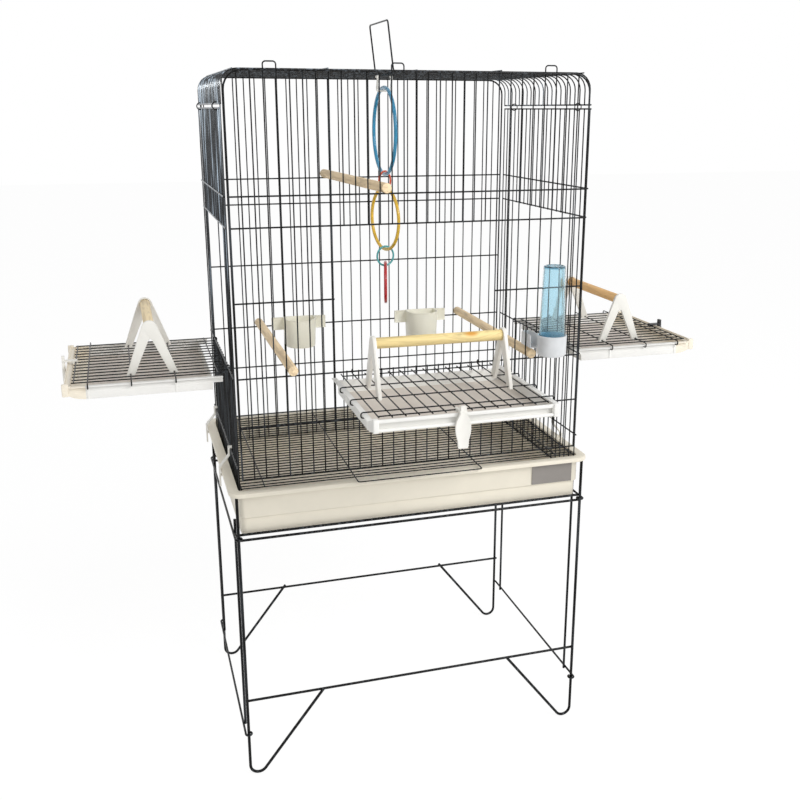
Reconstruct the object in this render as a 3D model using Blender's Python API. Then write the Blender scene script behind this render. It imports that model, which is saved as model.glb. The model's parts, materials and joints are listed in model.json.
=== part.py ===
"""Bird cage on a folding wire stand: the assembly at rest, in metres, with +Z up.

X runs to the right seen from the front, Y to the back. The three doors stand
open as landing platforms. Every size that drives the shape is named below.
"""

import math

import bmesh
import bpy
from mathutils import Matrix, Vector

# Cage body
BARS_X = 30
BARS_Y = 20
FRONT_HALF_X = 0.297
SIDE_HALF_Y = 0.189
FACE_Y = 0.193
SIDE_X = 0.301
TOP_HALF_Y = 0.188
BAR_R = 0.0011
RAIL_R = 0.00135
FRAME_R = 0.0015
WELD = 0.0007
CLEAR = 0.0003
RAIL_OUT = BAR_R + RAIL_R - WELD
SPAN_OUT = BAR_R + RAIL_R + CLEAR

# Heights of the horizontal wires
TOP_Z = 1.196
FACE_TOP_Z = 1.195
RAIL_1 = 1.011
RAIL_2 = 0.963
RAIL_3 = 0.846
RAIL_4 = 0.724
RAIL_5 = 0.642
FRONT_END_Z = 0.5535
BACK_6 = 0.5415
PANEL_END_Z = 0.494
SKIRT_Z = 1.147
SKIRT_GAP = 0.0065
SIDE_TOP_Z = SKIRT_Z - SKIRT_GAP
ARCH_R = 0.028
FACET = math.tan(math.radians(22.5))
LOOP_Z = 1.2075

# Door platforms, in their own frame: t outwards from the hinge wire, z up
DOOR_WIRES = 14
DOOR_PITCH = 0.020
DOOR_R = 0.00105
DOOR_Z = -0.0034
CROSS_Z = DOOR_Z + 2 * DOOR_R - 0.0006
SPAN_Z = DOOR_Z + 2 * DOOR_R + CLEAR
CROSS_OVER = DOOR_Z - CROSS_Z
LATCH_X = -0.0099
LATCH_OUT = 0.2672
CROSS_T = (0.0193, 0.0873, 0.1563, 0.2228, 0.2443)
DOOR_END = 0.2478
HOOK_X = 0.150
HINGE_Y = FACE_Y + RAIL_OUT
HINGE_X = SIDE_X + RAIL_OUT
TRAY_HALF = 0.1405
FLANGE_HALF = 0.1475
TRAY_TOP = DOOR_Z - 0.0018
TRAY_BOTTOM = DOOR_Z - 0.0240
TRAY_NOSE = 0.2605
STAND_X = 0.1053
DOWEL_T = 0.1218
DOWEL_Z = 0.0745
DOWEL_R = 0.0085

# Tub and floor grid
RIM_X = 0.3215
RIM_Y = 0.2145
RIM_TOP = 0.5365
RIM_LOW = 0.5285
WALL_X = 0.3065
WALL_Y = 0.2005
TUB_STEP = 0.0420
TUB_DEPTH = 0.0745
TUB_SKIN = 0.0015
PLATE_WIDE = 0.0775
PLATE_TALL = 0.0370
GRID_Z = RIM_TOP + 0.0020
CLIP_RISE = 0.0355
SIDE_5 = RIM_TOP + CLIP_RISE
SIDE_6 = RIM_TOP - 0.0013
GRID_FRONT = -0.198
GRID_PITCH = 0.01303
GRID_COUNT = 30
GRID_HALF_X = 0.299
PULL_Y = -0.2265

# Drinker, standing outside the front bars with its spout in one gap
DRINK_GAP = 25.5
DRINK_SIDE = 0.0256
DRINK_OUT = 0.0298
DRINK_BASE = RAIL_4 + 0.0100
DRINK_TALL = 0.1540
DRINK_R = 0.0255
SPOUT_HALF = 0.0084
SPOUT_REACH = 0.0230

# Stand
LEG_X = 0.310
LEG_Y = 0.2055
LEG_R = 0.0026
BAR2_R = 0.00225
EYE_R = 0.0051
EYE_WIRE_R = 0.0020
CROSS_Y = 0.2011
TOP_BARS = (0.4595, 0.4495)
LOW_BAR = 0.1455
BRACE_X = 0.1767
FRAME_LOW = 0.083
FRAME_HIGH = 0.4545
FRAME_POST_Y = 0.170
FRAME_POST_TOP = 0.476

# The whole object is centred on its own box: the front latch reaches out, the rim ends it behind
CENTRE_Y = (HINGE_Y + LATCH_OUT - RIM_Y) / 2

BLACK = (0.02, 0.02, 0.022, 1)
WHITE = (0.86, 0.86, 0.84, 1)
CREAM = (0.80, 0.76, 0.66, 1)
PINE = (0.86, 0.68, 0.38, 1)
TAN = (0.72, 0.50, 0.28, 1)


# Scene and materials

def clear_scene():
    for obj in list(bpy.data.objects):
        bpy.data.objects.remove(obj)


def material(name, colour, rough=0.5, metal=0.0):
    made = bpy.data.materials.new(name)
    made.use_nodes = True
    shader = made.node_tree.nodes["Principled BSDF"]
    shader.inputs["Base Color"].default_value = colour
    shader.inputs["Roughness"].default_value = rough
    shader.inputs["Metallic"].default_value = metal
    made.diffuse_color = colour
    return made


def link(name, mesh):
    obj = bpy.data.objects.new(name, mesh)
    bpy.context.scene.collection.objects.link(obj)
    return obj


def place(obj, colour, pivot=(0, 0, 0), rough=0.5):
    """Gives the piece its origin on its own axis, centres the assembly and colours it."""
    pivot = Vector(pivot)
    obj.data.transform(Matrix.Translation(-pivot))
    obj.location = pivot + Vector((0, CENTRE_Y, 0))
    obj.data.materials.clear()
    obj.data.materials.append(material(obj.name + "_finish", colour, rough))
    for face in obj.data.polygons:
        face.use_smooth = False
    return obj


# Shape helpers

def baked(obj):
    """The object's evaluated mesh, with the points that meet made one."""
    bpy.context.view_layer.update()
    graph = bpy.context.evaluated_depsgraph_get()
    mesh = bpy.data.meshes.new_from_object(obj.evaluated_get(graph))
    work = bmesh.new()
    work.from_mesh(mesh)
    bmesh.ops.remove_doubles(work, verts=work.verts, dist=1e-7)
    bmesh.ops.recalc_face_normals(work, faces=work.faces)
    work.to_mesh(mesh)
    work.free()
    return mesh


def wires(name, paths, radius, sides=4):
    """Round-ended paths as one mesh of straight wire lengths, each with filled ends."""
    curve = bpy.data.curves.new(name, "CURVE")
    curve.dimensions = "3D"
    curve.twist_mode = "MINIMUM"
    curve.bevel_depth = radius
    curve.bevel_resolution = {4: 0, 6: 1, 8: 2}[sides]
    curve.use_fill_caps = True
    for path in paths:
        spline = curve.splines.new("POLY")
        spline.points.add(len(path) - 1)
        for point, place_at in zip(spline.points, path):
            point.co = (*place_at, 1)
    source = link(name + "_path", curve)
    made = link(name, baked(source))
    bpy.data.objects.remove(source)
    return made


def bool_op(obj, other, operation):
    modifier = obj.modifiers.new(operation.lower(), "BOOLEAN")
    modifier.operation = operation
    modifier.solver = "EXACT"
    modifier.object = other
    mesh = baked(obj)
    obj.modifiers.clear()
    obj.data = mesh
    bpy.data.objects.remove(other)
    return obj


def joined(obj, *others):
    for other in others:
        bool_op(obj, other, "UNION")
    return obj


def cut(obj, *others):
    for other in others:
        bool_op(obj, other, "DIFFERENCE")
    return obj


def box(name, low, high):
    bpy.ops.mesh.primitive_cube_add(size=1)
    obj = bpy.context.active_object
    obj.name = name
    size = [b - a for a, b in zip(low, high)]
    middle = [(a + b) / 2 for a, b in zip(low, high)]
    obj.data.transform(Matrix.Translation(middle) @ Matrix.Diagonal((*size, 1)))
    return obj


def rod(name, start, end, radius, sides=12):
    """A cylinder between two points."""
    start, end = Vector(start), Vector(end)
    bpy.ops.mesh.primitive_cylinder_add(vertices=sides, radius=radius, depth=(end - start).length)
    obj = bpy.context.active_object
    obj.name = name
    turn = (end - start).to_track_quat("Z", "Y").to_matrix().to_4x4()
    obj.data.transform(Matrix.Translation((start + end) / 2) @ turn)
    return obj


def prism(name, outline, low, high, axes):
    """An outline swept along one axis. axes maps (outline u, outline v, sweep) to X, Y and Z."""
    work = bmesh.new()
    rings = []
    for depth in (low, high):
        ring = []
        for u, v in outline:
            point = [0.0, 0.0, 0.0]
            point[axes[0]] = u
            point[axes[1]] = v
            point[axes[2]] = depth
            ring.append(work.verts.new(point))
        rings.append(ring)
    work.faces.new(rings[0])
    work.faces.new(rings[1])
    count = len(outline)
    for i in range(count):
        j = (i + 1) % count
        work.faces.new((rings[0][i], rings[0][j], rings[1][j], rings[1][i]))
    bmesh.ops.recalc_face_normals(work, faces=work.faces)
    mesh = bpy.data.meshes.new(name)
    work.to_mesh(mesh)
    work.free()
    return link(name, mesh)


def lofted(name, rings):
    """Rounded rectangles (half x, half y, corner radius, z) skinned in order, capped at both ends."""
    work = bmesh.new()
    made = []
    for half_x, half_y, radius, z in rings:
        ring = []
        for corner, (sx, sy) in enumerate(((1, 1), (-1, 1), (-1, -1), (1, -1))):
            for step in range(4):
                angle = math.radians(corner * 90 + step * 30)
                x = sx * (half_x - radius) + radius * math.cos(angle)
                y = sy * (half_y - radius) + radius * math.sin(angle)
                ring.append(work.verts.new((x, y, z)))
        made.append(ring)
    for first, second in zip(made, made[1:]):
        for i in range(16):
            j = (i + 1) % 16
            work.faces.new((first[i], first[j], second[j], second[i]))
    work.faces.new(made[0])
    work.faces.new(made[-1])
    bmesh.ops.recalc_face_normals(work, faces=work.faces)
    mesh = bpy.data.meshes.new(name)
    work.to_mesh(mesh)
    work.free()
    return link(name, mesh)


def torus(name, centre, major, minor, turn, steps, sides):
    """A ring of round wire: its circle is turned about Z from the Y-Z plane, or lies flat."""
    bpy.ops.mesh.primitive_torus_add(
        major_radius=major, minor_radius=minor, major_segments=steps, minor_segments=sides
    )
    obj = bpy.context.active_object
    obj.name = name
    obj.data.transform(Matrix.Translation(centre) @ turn)
    return obj


def hanging(degrees):
    """A vertical ring whose plane leaves the Y axis by this angle towards +X."""
    upright = Matrix.Rotation(math.radians(90), 4, "Y")
    return Matrix.Rotation(math.radians(-degrees), 4, "Z") @ upright


# Panels

def arch_height(x, half, top):
    """Height of the faceted top frame over a bar at x."""
    over = abs(x) - (half - ARCH_R * (1 - FACET))
    if over <= 0:
        return top
    return top - over


def arch_path(half, top, low, y):
    """The frame wire up one side, over both faceted shoulders and down the other."""
    far = ARCH_R * (1 - FACET)
    points = [(-half, y, low), (-half, y, top - far), (-half + far, y, top)]
    return points + [(-x, y, z) for x, y, z in reversed(points)]


def face_panel(name, sign):
    """The front panel (sign -1) or the back panel (sign +1).

    Every wire of a panel is welded to others at its ends. The levels that carry
    nothing clear the bars between, which keeps the lattice light.
    """
    pitch = 2 * FRONT_HALF_X / BARS_X
    spots = [-FRONT_HALF_X + pitch * i for i in range(1, BARS_X)]
    front = sign < 0
    end = FRONT_END_Z if front else PANEL_END_Z
    door_edge = 7 * pitch
    face = sign * FACE_Y
    rail_y = sign * (FACE_Y + RAIL_OUT)
    span_y = sign * (FACE_Y + SPAN_OUT)
    bars = []
    paired = []
    for index, x in enumerate(spots, 1):
        top = arch_height(x, FRONT_HALF_X, FACE_TOP_Z) + 0.0013
        foot = end - 0.0013
        in_door = front and abs(x) < door_edge - 0.001
        if in_door:
            bars.append([(x, face, foot), (x, face, RAIL_4 + 0.0013)])
            foot = RAIL_2 - 0.0013
        if front and index in (3, 13, 26):
            after = x + pitch
            bars.append([
                (x, face, foot), (x, face, LOOP_Z - 0.0045), (x + 0.0035, face, LOOP_Z),
                (after - 0.0035, face, LOOP_Z), (after, face, LOOP_Z - 0.0045), (after, face, foot),
            ])
            paired.append(index + 1)
        elif index not in paired:
            bars.append([(x, face, foot), (x, face, top)])
    reach = FRONT_HALF_X
    welded = [RAIL_2, RAIL_4, FRONT_END_Z] if front else [RAIL_4, PANEL_END_Z]
    spans = [RAIL_1, RAIL_5] if front else [RAIL_1, RAIL_2, RAIL_3, RAIL_5, BACK_6]
    rails = [[(-reach, rail_y, z), (reach, rail_y, z)] for z in welded]
    rails += [[(-reach, span_y, z), (reach, span_y, z)] for z in spans]
    if front:
        inner = door_edge - 0.0015
        rails += [[(-reach, rail_y, RAIL_3), (-inner, rail_y, RAIL_3)]]
        rails += [[(inner, rail_y, RAIL_3), (reach, rail_y, RAIL_3)]]
    frame = [arch_path(FRONT_HALF_X, FACE_TOP_Z, end - 0.0016, rail_y - sign * 0.0001)]
    panel = wires(name, bars, BAR_R)
    joined(panel, wires("frame", frame, FRAME_R), wires("rails", rails, RAIL_R))
    return place(panel, BLACK, (0, rail_y, RAIL_4), 0.4)


def side_panel(name, sign):
    """The left panel (sign -1) or the right panel (sign +1), each with a door opening."""
    pitch = 2 * SIDE_HALF_Y / BARS_Y
    edge = 7 * pitch
    x = sign * SIDE_X
    out = sign * (SIDE_X + RAIL_OUT)
    bars = []
    for i in range(BARS_Y + 1):
        y = -SIDE_HALF_Y + pitch * i
        foot = PANEL_END_Z - 0.0013
        bar_x = x + sign * (SPAN_OUT - RAIL_OUT) if i in (0, BARS_Y) else x
        if abs(y) < edge - 0.001:
            bars.append([(bar_x, y, foot), (bar_x, y, RAIL_4 + 0.0013)])
            foot = RAIL_2 - 0.0013
        bars.append([(bar_x, y, foot), (bar_x, y, SIDE_TOP_Z + 0.0013)])
    reach = SIDE_HALF_Y + 0.0015
    rails = [[(out, -reach, z), (out, reach, z)] for z in (SIDE_TOP_Z, RAIL_2, RAIL_4, PANEL_END_Z)]
    span = sign * (SIDE_X + SPAN_OUT)
    rails += [[(span, -reach, z), (span, reach, z)] for z in (RAIL_1, SIDE_5)]
    inside = sign * (SIDE_X - RAIL_OUT)
    rails.append([(inside, -reach, SIDE_6), (inside, reach, SIDE_6)])
    panel = wires(name, bars, BAR_R)
    joined(panel, wires("rails", rails, RAIL_R))
    return place(panel, BLACK, (out, 0, RAIL_4), 0.4)


def top_panel():
    pitch = 2 * TOP_HALF_Y / BARS_Y
    bows = []
    for i in range(BARS_Y + 1):
        y = -TOP_HALF_Y + pitch * i
        lift = WELD + CLEAR if i in (0, BARS_Y) else 0
        bows.append(arch_path(SIDE_X, TOP_Z + lift, SKIRT_Z - 0.0013, y))
    reach = TOP_HALF_Y + 0.0015
    nub = FACE_Y + 0.0045
    up = TOP_Z + 2 * BAR_R - WELD
    clear = TOP_Z + 2 * BAR_R + CLEAR
    stays = [[(0, -nub, up), (0, nub, up)]]
    stays += [[(x, -nub, clear), (x, nub, clear)] for x in (-0.2825, -0.14, 0.14, 0.2825)]
    out = SIDE_X + RAIL_OUT
    skirts = [[(x, -reach, SKIRT_Z), (x, reach, SKIRT_Z)] for x in (-out, out)]
    panel = wires("top_panel", bows, BAR_R)
    joined(panel, wires("stays", stays, BAR_R), wires("skirts", skirts, RAIL_R))
    return place(panel, BLACK, (0, 0, TOP_Z), 0.4)


def panel_rings():
    """Four closing rings join the roof's skirt wires to the side panels."""
    side = SIDE_X + RAIL_OUT
    middle = (SKIRT_Z + SIDE_TOP_Z) / 2
    upright = Matrix.Rotation(math.radians(90), 4, "X")
    for label, sx, sy in (("fl", -1, -1), ("fr", 1, -1), ("bl", -1, 1), ("br", 1, 1)):
        centre = (sx * side, sy * 0.1415, middle)
        ring = torus("roof_ring_" + label, centre, SKIRT_GAP / 2 + 0.00275, 0.0009, upright, 8, 4)
        place(ring, BLACK, centre, 0.4)


# Doors, each built in the frame (x along the hinge, t outwards, z up) and turned to its side

def door_frame(side):
    """Matrix that carries a door piece from its own frame to the cage."""
    to_front = Matrix(((1, 0, 0, 0), (0, -1, 0, 0), (0, 0, 1, 0), (0, 0, 0, 1)))
    turn = {"front": 0, "left": -90, "right": 90}[side]
    spot = {
        "front": (0, -HINGE_Y, RAIL_4),
        "left": (-HINGE_X, 0, RAIL_4),
        "right": (HINGE_X, 0, RAIL_4),
    }[side]
    return Matrix.Translation(spot) @ Matrix.Rotation(math.radians(turn), 4, "Z") @ to_front


def set_in_place(obj, side, colour, pivot=(0, 0, 0), rough=0.5):
    """Moves a piece from the door's frame to the cage, with its origin at pivot."""
    carry = door_frame(side)
    obj.data.transform(carry)
    if carry.determinant() < 0:
        obj.data.flip_normals()
    return place(obj, colour, carry @ Vector(pivot), rough)


def door_panel(side):
    half = (DOOR_WIRES - 1) * DOOR_PITCH / 2
    longs = []
    for i in range(DOOR_WIRES):
        x = -half + DOOR_PITCH * i
        level = SPAN_Z + CROSS_OVER if i in (0, DOOR_WIRES - 1) else DOOR_Z
        if i in (1, DOOR_WIRES - 2):
            curl = [(x, DOOR_END, DOOR_Z), (x, 0.0006, DOOR_Z)]
            for angle in (225, 180, 135, 90, 45, 5):
                spin = math.radians(angle)
                curl.append((x, -DOOR_Z * math.cos(spin), -DOOR_Z * math.sin(spin)))
            longs.append(curl)
        else:
            longs.append([(x, DOOR_END, level), (x, 0.0045, level)])
    crosses = []
    for i, t in enumerate(CROSS_T):
        if i in (0, 4):
            end = half + 0.0013
            crosses.append([(-end, t, CROSS_Z), (end, t, CROSS_Z)])
            continue
        bend = [
            (HOOK_X - 0.0045, t, SPAN_Z), (HOOK_X, t, SPAN_Z - 0.0035),
            (HOOK_X, t, SPAN_Z - 0.0062), (HOOK_X - 0.0025, t, SPAN_Z - 0.0083),
            (HOOK_X - 0.0075, t, SPAN_Z - 0.0083),
        ]
        crosses.append([(-x, y, z) for x, y, z in reversed(bend)] + bend)
    door = wires("door_" + side, longs, DOOR_R)
    joined(door, wires("crosses", crosses, DOOR_R))
    return set_in_place(door, side, BLACK, rough=0.4)


def platform_tray(side):
    outer = [
        (0.012, TRAY_TOP), (0.012, TRAY_BOTTOM), (0.228, TRAY_BOTTOM),
        (0.245, TRAY_BOTTOM + 0.0028), (0.256, TRAY_BOTTOM + 0.0095),
        (TRAY_NOSE, TRAY_BOTTOM + 0.0180), (0.2600, TRAY_TOP + 0.0038),
        (0.2578, TRAY_TOP + 0.0038), (0.2560, TRAY_TOP),
    ]
    inner = [
        (0.0140, 0.0100), (0.0140, TRAY_BOTTOM + 0.0020), (0.2275, TRAY_BOTTOM + 0.0020),
        (0.2435, TRAY_BOTTOM + 0.0046), (0.2535, TRAY_BOTTOM + 0.0106),
        (0.2575, TRAY_BOTTOM + 0.0184), (0.2575, 0.0100),
    ]
    tray = prism("tray_" + side, outer, -TRAY_HALF, TRAY_HALF, (1, 2, 0))
    cut(tray, prism("hollow", inner, -TRAY_HALF + 0.0018, TRAY_HALF - 0.0018, (1, 2, 0)))
    for sign in (-1, 1):
        ends = sorted((sign * (TRAY_HALF - 0.0006), sign * FLANGE_HALF))
        low = (ends[0], 0.0123, TRAY_TOP - 0.0016)
        high = (ends[1], 0.2480, TRAY_TOP - 0.00005)
        joined(tray, box("flange", low, high))
    return set_in_place(tray, side, WHITE, (0, 0.012, TRAY_TOP), 0.35)


def door_latch(side):
    """A turning latch: two lugs clip over the end wire, and its finger passes between the bars."""
    wire = CROSS_T[4]
    top = CROSS_Z + 0.0038
    latch = box(
        "latch_" + side, (LATCH_X - 0.0056, wire + 0.0044, top - 0.0024),
        (LATCH_X + 0.0056, LATCH_OUT - 0.0004, top),
    )
    for sign in (-1, 1):
        ends = sorted((LATCH_X + sign * 0.0017, LATCH_X + sign * 0.0054))
        lug = box(
            "lug", (ends[0], wire - 0.0026, CROSS_Z - 0.0026), (ends[1], wire + 0.0050, top - 0.0002)
        )
        low = (ends[0] - 0.001, wire - 0.0014, CROSS_Z - 0.02)
        cut(lug, box("slot", low, (ends[1] + 0.001, wire + 0.0014, CROSS_Z + 0.0014)))
        joined(latch, lug)
    c = LATCH_X
    outline = [
        (c - 0.0044, 0.0095), (c + 0.0044, 0.0095), (c + 0.0050, -0.0030), (c + 0.0100, -0.0115),
        (c + 0.0120, -0.0260), (c + 0.0112, -0.0440), (c + 0.0070, -0.0545),
        (c - 0.0070, -0.0545), (c - 0.0112, -0.0440), (c - 0.0120, -0.0260),
        (c - 0.0100, -0.0115), (c - 0.0050, -0.0030),
    ]
    joined(latch, prism("body", outline, LATCH_OUT - 0.0048, LATCH_OUT, (0, 2, 1)))
    colour = BLACK if side == "right" else WHITE
    return set_in_place(latch, side, colour, (LATCH_X, wire, CROSS_Z), 0.35)


def perch_stand(side, label, sign):
    c = DOWEL_T
    low = CROSS_Z - 0.0020
    outline = [
        (c - 0.0415, low), (c - 0.0285, low), (c, 0.0585), (c + 0.0285, low), (c + 0.0415, low),
        (c + 0.0116, 0.0780), (c + 0.0084, 0.0833), (c, 0.0862), (c - 0.0084, 0.0833),
        (c - 0.0116, 0.0780),
    ]
    thick = 0.0030
    middle = sign * STAND_X
    stand = prism("perch_stand_%s_%s" % (side, label), outline, middle - thick, middle + thick, (1, 2, 0))
    for t in (CROSS_T[1], CROSS_T[2]):
        low = (middle - 0.01, t - 0.0014, -0.02)
        cut(stand, box("clip", low, (middle + 0.01, t + 0.0014, SPAN_Z + 0.0014)))
    inner = middle - sign * thick
    socket = rod(
        "socket", (inner - sign * 0.004, c, DOWEL_Z), (inner + sign * 0.0032, c, DOWEL_Z),
        DOWEL_R + 0.0004, 10,
    )
    cut(stand, socket)
    return set_in_place(stand, side, WHITE, (middle, c, DOWEL_Z), 0.35)


def platform_dowel(side):
    half = STAND_X + 0.0030 - 0.0031
    dowel = rod("dowel_" + side, (-half, DOWEL_T, DOWEL_Z), (half, DOWEL_T, DOWEL_Z), DOWEL_R, 10)
    return set_in_place(dowel, side, PINE, (0, DOWEL_T, DOWEL_Z), 0.7)


def doors():
    for side in ("front", "left", "right"):
        door_panel(side)
        platform_tray(side)
        door_latch(side)
        perch_stand(side, "a", -1)
        perch_stand(side, "b", 1)
        platform_dowel(side)


# Fittings inside the cage

def inner_perch(name, front_gap, back_gap, rail):
    """A full-depth perch, notched over the horizontal wire between two bars at each end."""
    pitch = 2 * FRONT_HALF_X / BARS_X
    front_x = -FRONT_HALF_X + pitch * (front_gap + 0.5)
    back_x = -FRONT_HALF_X + pitch * (back_gap + 0.5)
    radius = 0.0081
    z = rail + RAIL_R + 0.0003 + radius - 0.0015
    out = RAIL_OUT if rail == RAIL_4 else SPAN_OUT
    reach = FACE_Y + 0.0055
    perch = rod(name, (front_x, -reach, z), (back_x, reach, z), radius, 10)
    for sign, x in ((-1, front_x), (1, back_x)):
        y = sign * (FACE_Y + out)
        low = (x - 0.02, y - 0.0019, z - 0.03)
        high = (x + 0.02, y + 0.0019, rail + RAIL_R + 0.0003)
        cut(perch, box("notch", low, high))
    return place(perch, TAN, ((front_x + back_x) / 2, 0, z), 0.7)


def feeder_cup(name, x):
    """A half-round cup with side wings, hooked over the back panel's wire."""
    back = FACE_Y - BAR_R - 0.0006
    top, bottom = 0.742, 0.686
    outline = [(x - 0.031, back), (x + 0.031, back)]
    inside = [(x - 0.029, back - 0.002), (x + 0.029, back - 0.002)]
    for step in range(7):
        angle = math.radians(-180 * step / 6)
        outline.append((x + 0.031 * math.cos(angle), back - 0.022 + 0.031 * math.sin(angle)))
        inside.append((x + 0.029 * math.cos(angle), back - 0.022 + 0.029 * math.sin(angle)))
    cup = prism(name, outline, bottom, top, (0, 1, 2))
    cut(cup, prism("hollow", inside, bottom + 0.002, top + 0.01, (0, 1, 2)))
    pitch = 2 * FRONT_HALF_X / BARS_X
    for sign in (-1, 1):
        ends = sorted((x + sign * 0.0295, x + sign * 0.054))
        joined(cup, box("wing", (ends[0], back - 0.0062, 0.7165), (ends[1], back - 0.0002, 0.7412)))
        gap = round((x + sign * 0.040 + FRONT_HALF_X) / pitch - 0.5) + 0.5
        hook_x = -FRONT_HALF_X + pitch * gap
        wire = HINGE_Y + RAIL_R
        over = RAIL_4 + RAIL_R + 0.0004
        joined(cup, box("hook", (hook_x - 0.003, back - 0.001, over), (hook_x + 0.003, wire + 0.0030, over + 0.0030)))
        joined(cup, box("tip", (hook_x - 0.0028, wire + 0.0006, 0.7195), (hook_x + 0.0028, wire + 0.0029, over + 0.0005)))
    return place(cup, CREAM, (x, back, RAIL_4), 0.4)


def drinker():
    """A water tube standing in a cup outside the front bars, with its spout between two of them."""
    spout_x = -FRONT_HALF_X + 2 * FRONT_HALF_X / BARS_X * DRINK_GAP
    x, y, base = spout_x + DRINK_SIDE, -FACE_Y - DRINK_OUT, DRINK_BASE
    turn = [
        (0.0030, base), (DRINK_R - 0.0020, base + 0.0010), (DRINK_R - 0.0007, base + 0.0060),
        (DRINK_R, base + 0.0360), (DRINK_R - 0.0023, base + 0.0360),
        (DRINK_R - 0.0029, base + 0.0080), (0.0030, base + 0.0060),
    ]
    cup = turned("drinker_cup", turn, (x, y), 14)
    out, tip, wall = y + 0.0138, -FACE_Y + SPOUT_REACH, 0.0018
    low = (spout_x - SPOUT_HALF, out, base + 0.0110)
    cup_side = box("spout", low, (spout_x + SPOUT_HALF, tip, base + 0.0340))
    low = (spout_x - SPOUT_HALF + wall, out - 0.001, base + 0.0130)
    cut(cup_side, box("well", low, (spout_x + SPOUT_HALF - wall, tip - wall + 0.0002, base + 0.0440)))
    cut(cup_side, rod("round", (x, y, base - 0.03), (x, y, base + 0.07), DRINK_R - 0.0015, 14))
    joined(cup, cup_side)
    place(cup, WHITE, (x, y, base), 0.35)
    top = base + DRINK_TALL
    low = base + 0.0085
    wide = DRINK_R - 0.0033
    wall = [
        (wide - 0.0004, low), (wide, low + 0.0300), (wide - 0.0040, top - 0.0020),
        (wide - 0.0048, top), (0.0030, top), (0.0030, top - 0.0016), (wide - 0.0056, top - 0.0018),
        (wide - 0.0014, low + 0.0300), (wide - 0.0018, low),
    ]
    tube = turned("drinker_tube", wall, (x, y), 14)
    place(tube, (0.25, 0.62, 0.85, 1), (x, y, low), 0.1)


def turned(name, profile, centre, steps):
    """A lathed body: a closed profile of (radius, z), with a narrow core filled by a disc at its inner edge."""
    work = bmesh.new()
    rings = []
    for step in range(steps):
        angle = 2 * math.pi * step / steps
        ring = []
        for radius, z in profile:
            ring.append(work.verts.new((
                centre[0] + radius * math.cos(angle), centre[1] + radius * math.sin(angle), z
            )))
        rings.append(ring)
    count = len(profile)
    core = [i for i, point in enumerate(profile) if point[0] < 0.0031]
    for step in range(steps):
        first, second = rings[step], rings[(step + 1) % steps]
        for i in range(count):
            j = (i + 1) % count
            if i in core and j in core:
                continue
            work.faces.new((first[i], first[j], second[j], second[i]))
    for i in core:
        work.faces.new([ring[i] for ring in rings])
    bmesh.ops.recalc_face_normals(work, faces=work.faces)
    mesh = bpy.data.meshes.new(name)
    work.to_mesh(mesh)
    work.free()
    return link(name, mesh)


def toy():
    """Rings linked under a double hook on the roof wire."""
    gap = 0.0004
    side = [
        (-0.0125, 0.0040, 1.1915), (-0.0125, 0.0040, 1.1968), (-0.0125, 0.0016, 1.1991),
        (-0.0125, -0.0016, 1.1991), (-0.0125, -0.0040, 1.1968), (-0.0125, -0.0040, 1.1850),
        (-0.0125, 0.0, 1.1750), (-0.0095, 0.0, 1.1702),
    ]
    path = side + [(-x, y, z) for x, y, z in reversed(side)]
    hook = wires("toy_hook", [path], 0.0018, 6)
    place(hook, WHITE, (0, 0, TOP_Z), 0.35)
    bar_top = 1.1702 + 0.0018
    chain = (
        ("ring_blue", 0.154, 0.00325, 0, (0.03, 0.21, 0.42, 1), 16, 6),
        ("link_orange", 0.038, 0.00175, 51, (0.70, 0.12, 0.04, 1), 12, 4),
        ("ring_yellow", 0.115, 0.0030, -11, (0.75, 0.47, 0.03, 1), 16, 6),
        ("link_teal", 0.038, 0.00175, 73, (0.08, 0.46, 0.48, 1), 12, 4),
        ("ring_red", 0.078, 0.0030, 15, (0.62, 0.02, 0.03, 1), 12, 6),
    )
    hang = bar_top
    for name, across, minor, turn, colour, steps, sides in chain:
        centre_z = hang + gap + 2 * minor - across / 2
        ring = torus(name, (0, 0, centre_z), across / 2 - minor, minor, hanging(turn), steps, sides)
        place(ring, colour, (0, 0, hang + gap), 0.4)
        hang = centre_z - across / 2 + 2 * minor


def handle_bail():
    """A carrying bail curled round the middle roof wire at both ends."""
    axis = TOP_Z + 2 * BAR_R - WELD
    curl = 0.0034
    half = 0.060
    side = []
    for angle in (150, 195, 240, 285, 330, 375, 420):
        spin = math.radians(angle)
        side.append((curl * math.cos(spin), -half, axis + curl * math.sin(spin)))
    side += [(0.0, -half, axis + 0.0060), (-0.0085, -half, 1.2760), (-0.0090, -half + 0.005, 1.2810)]
    path = side + [(x, -y, z) for x, y, z in reversed(side)]
    bail = wires("handle_bail", [path], 0.0014, 4)
    return place(bail, BLACK, (0, 0, axis), 0.4)


# Tub, floor grid and clips

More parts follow.
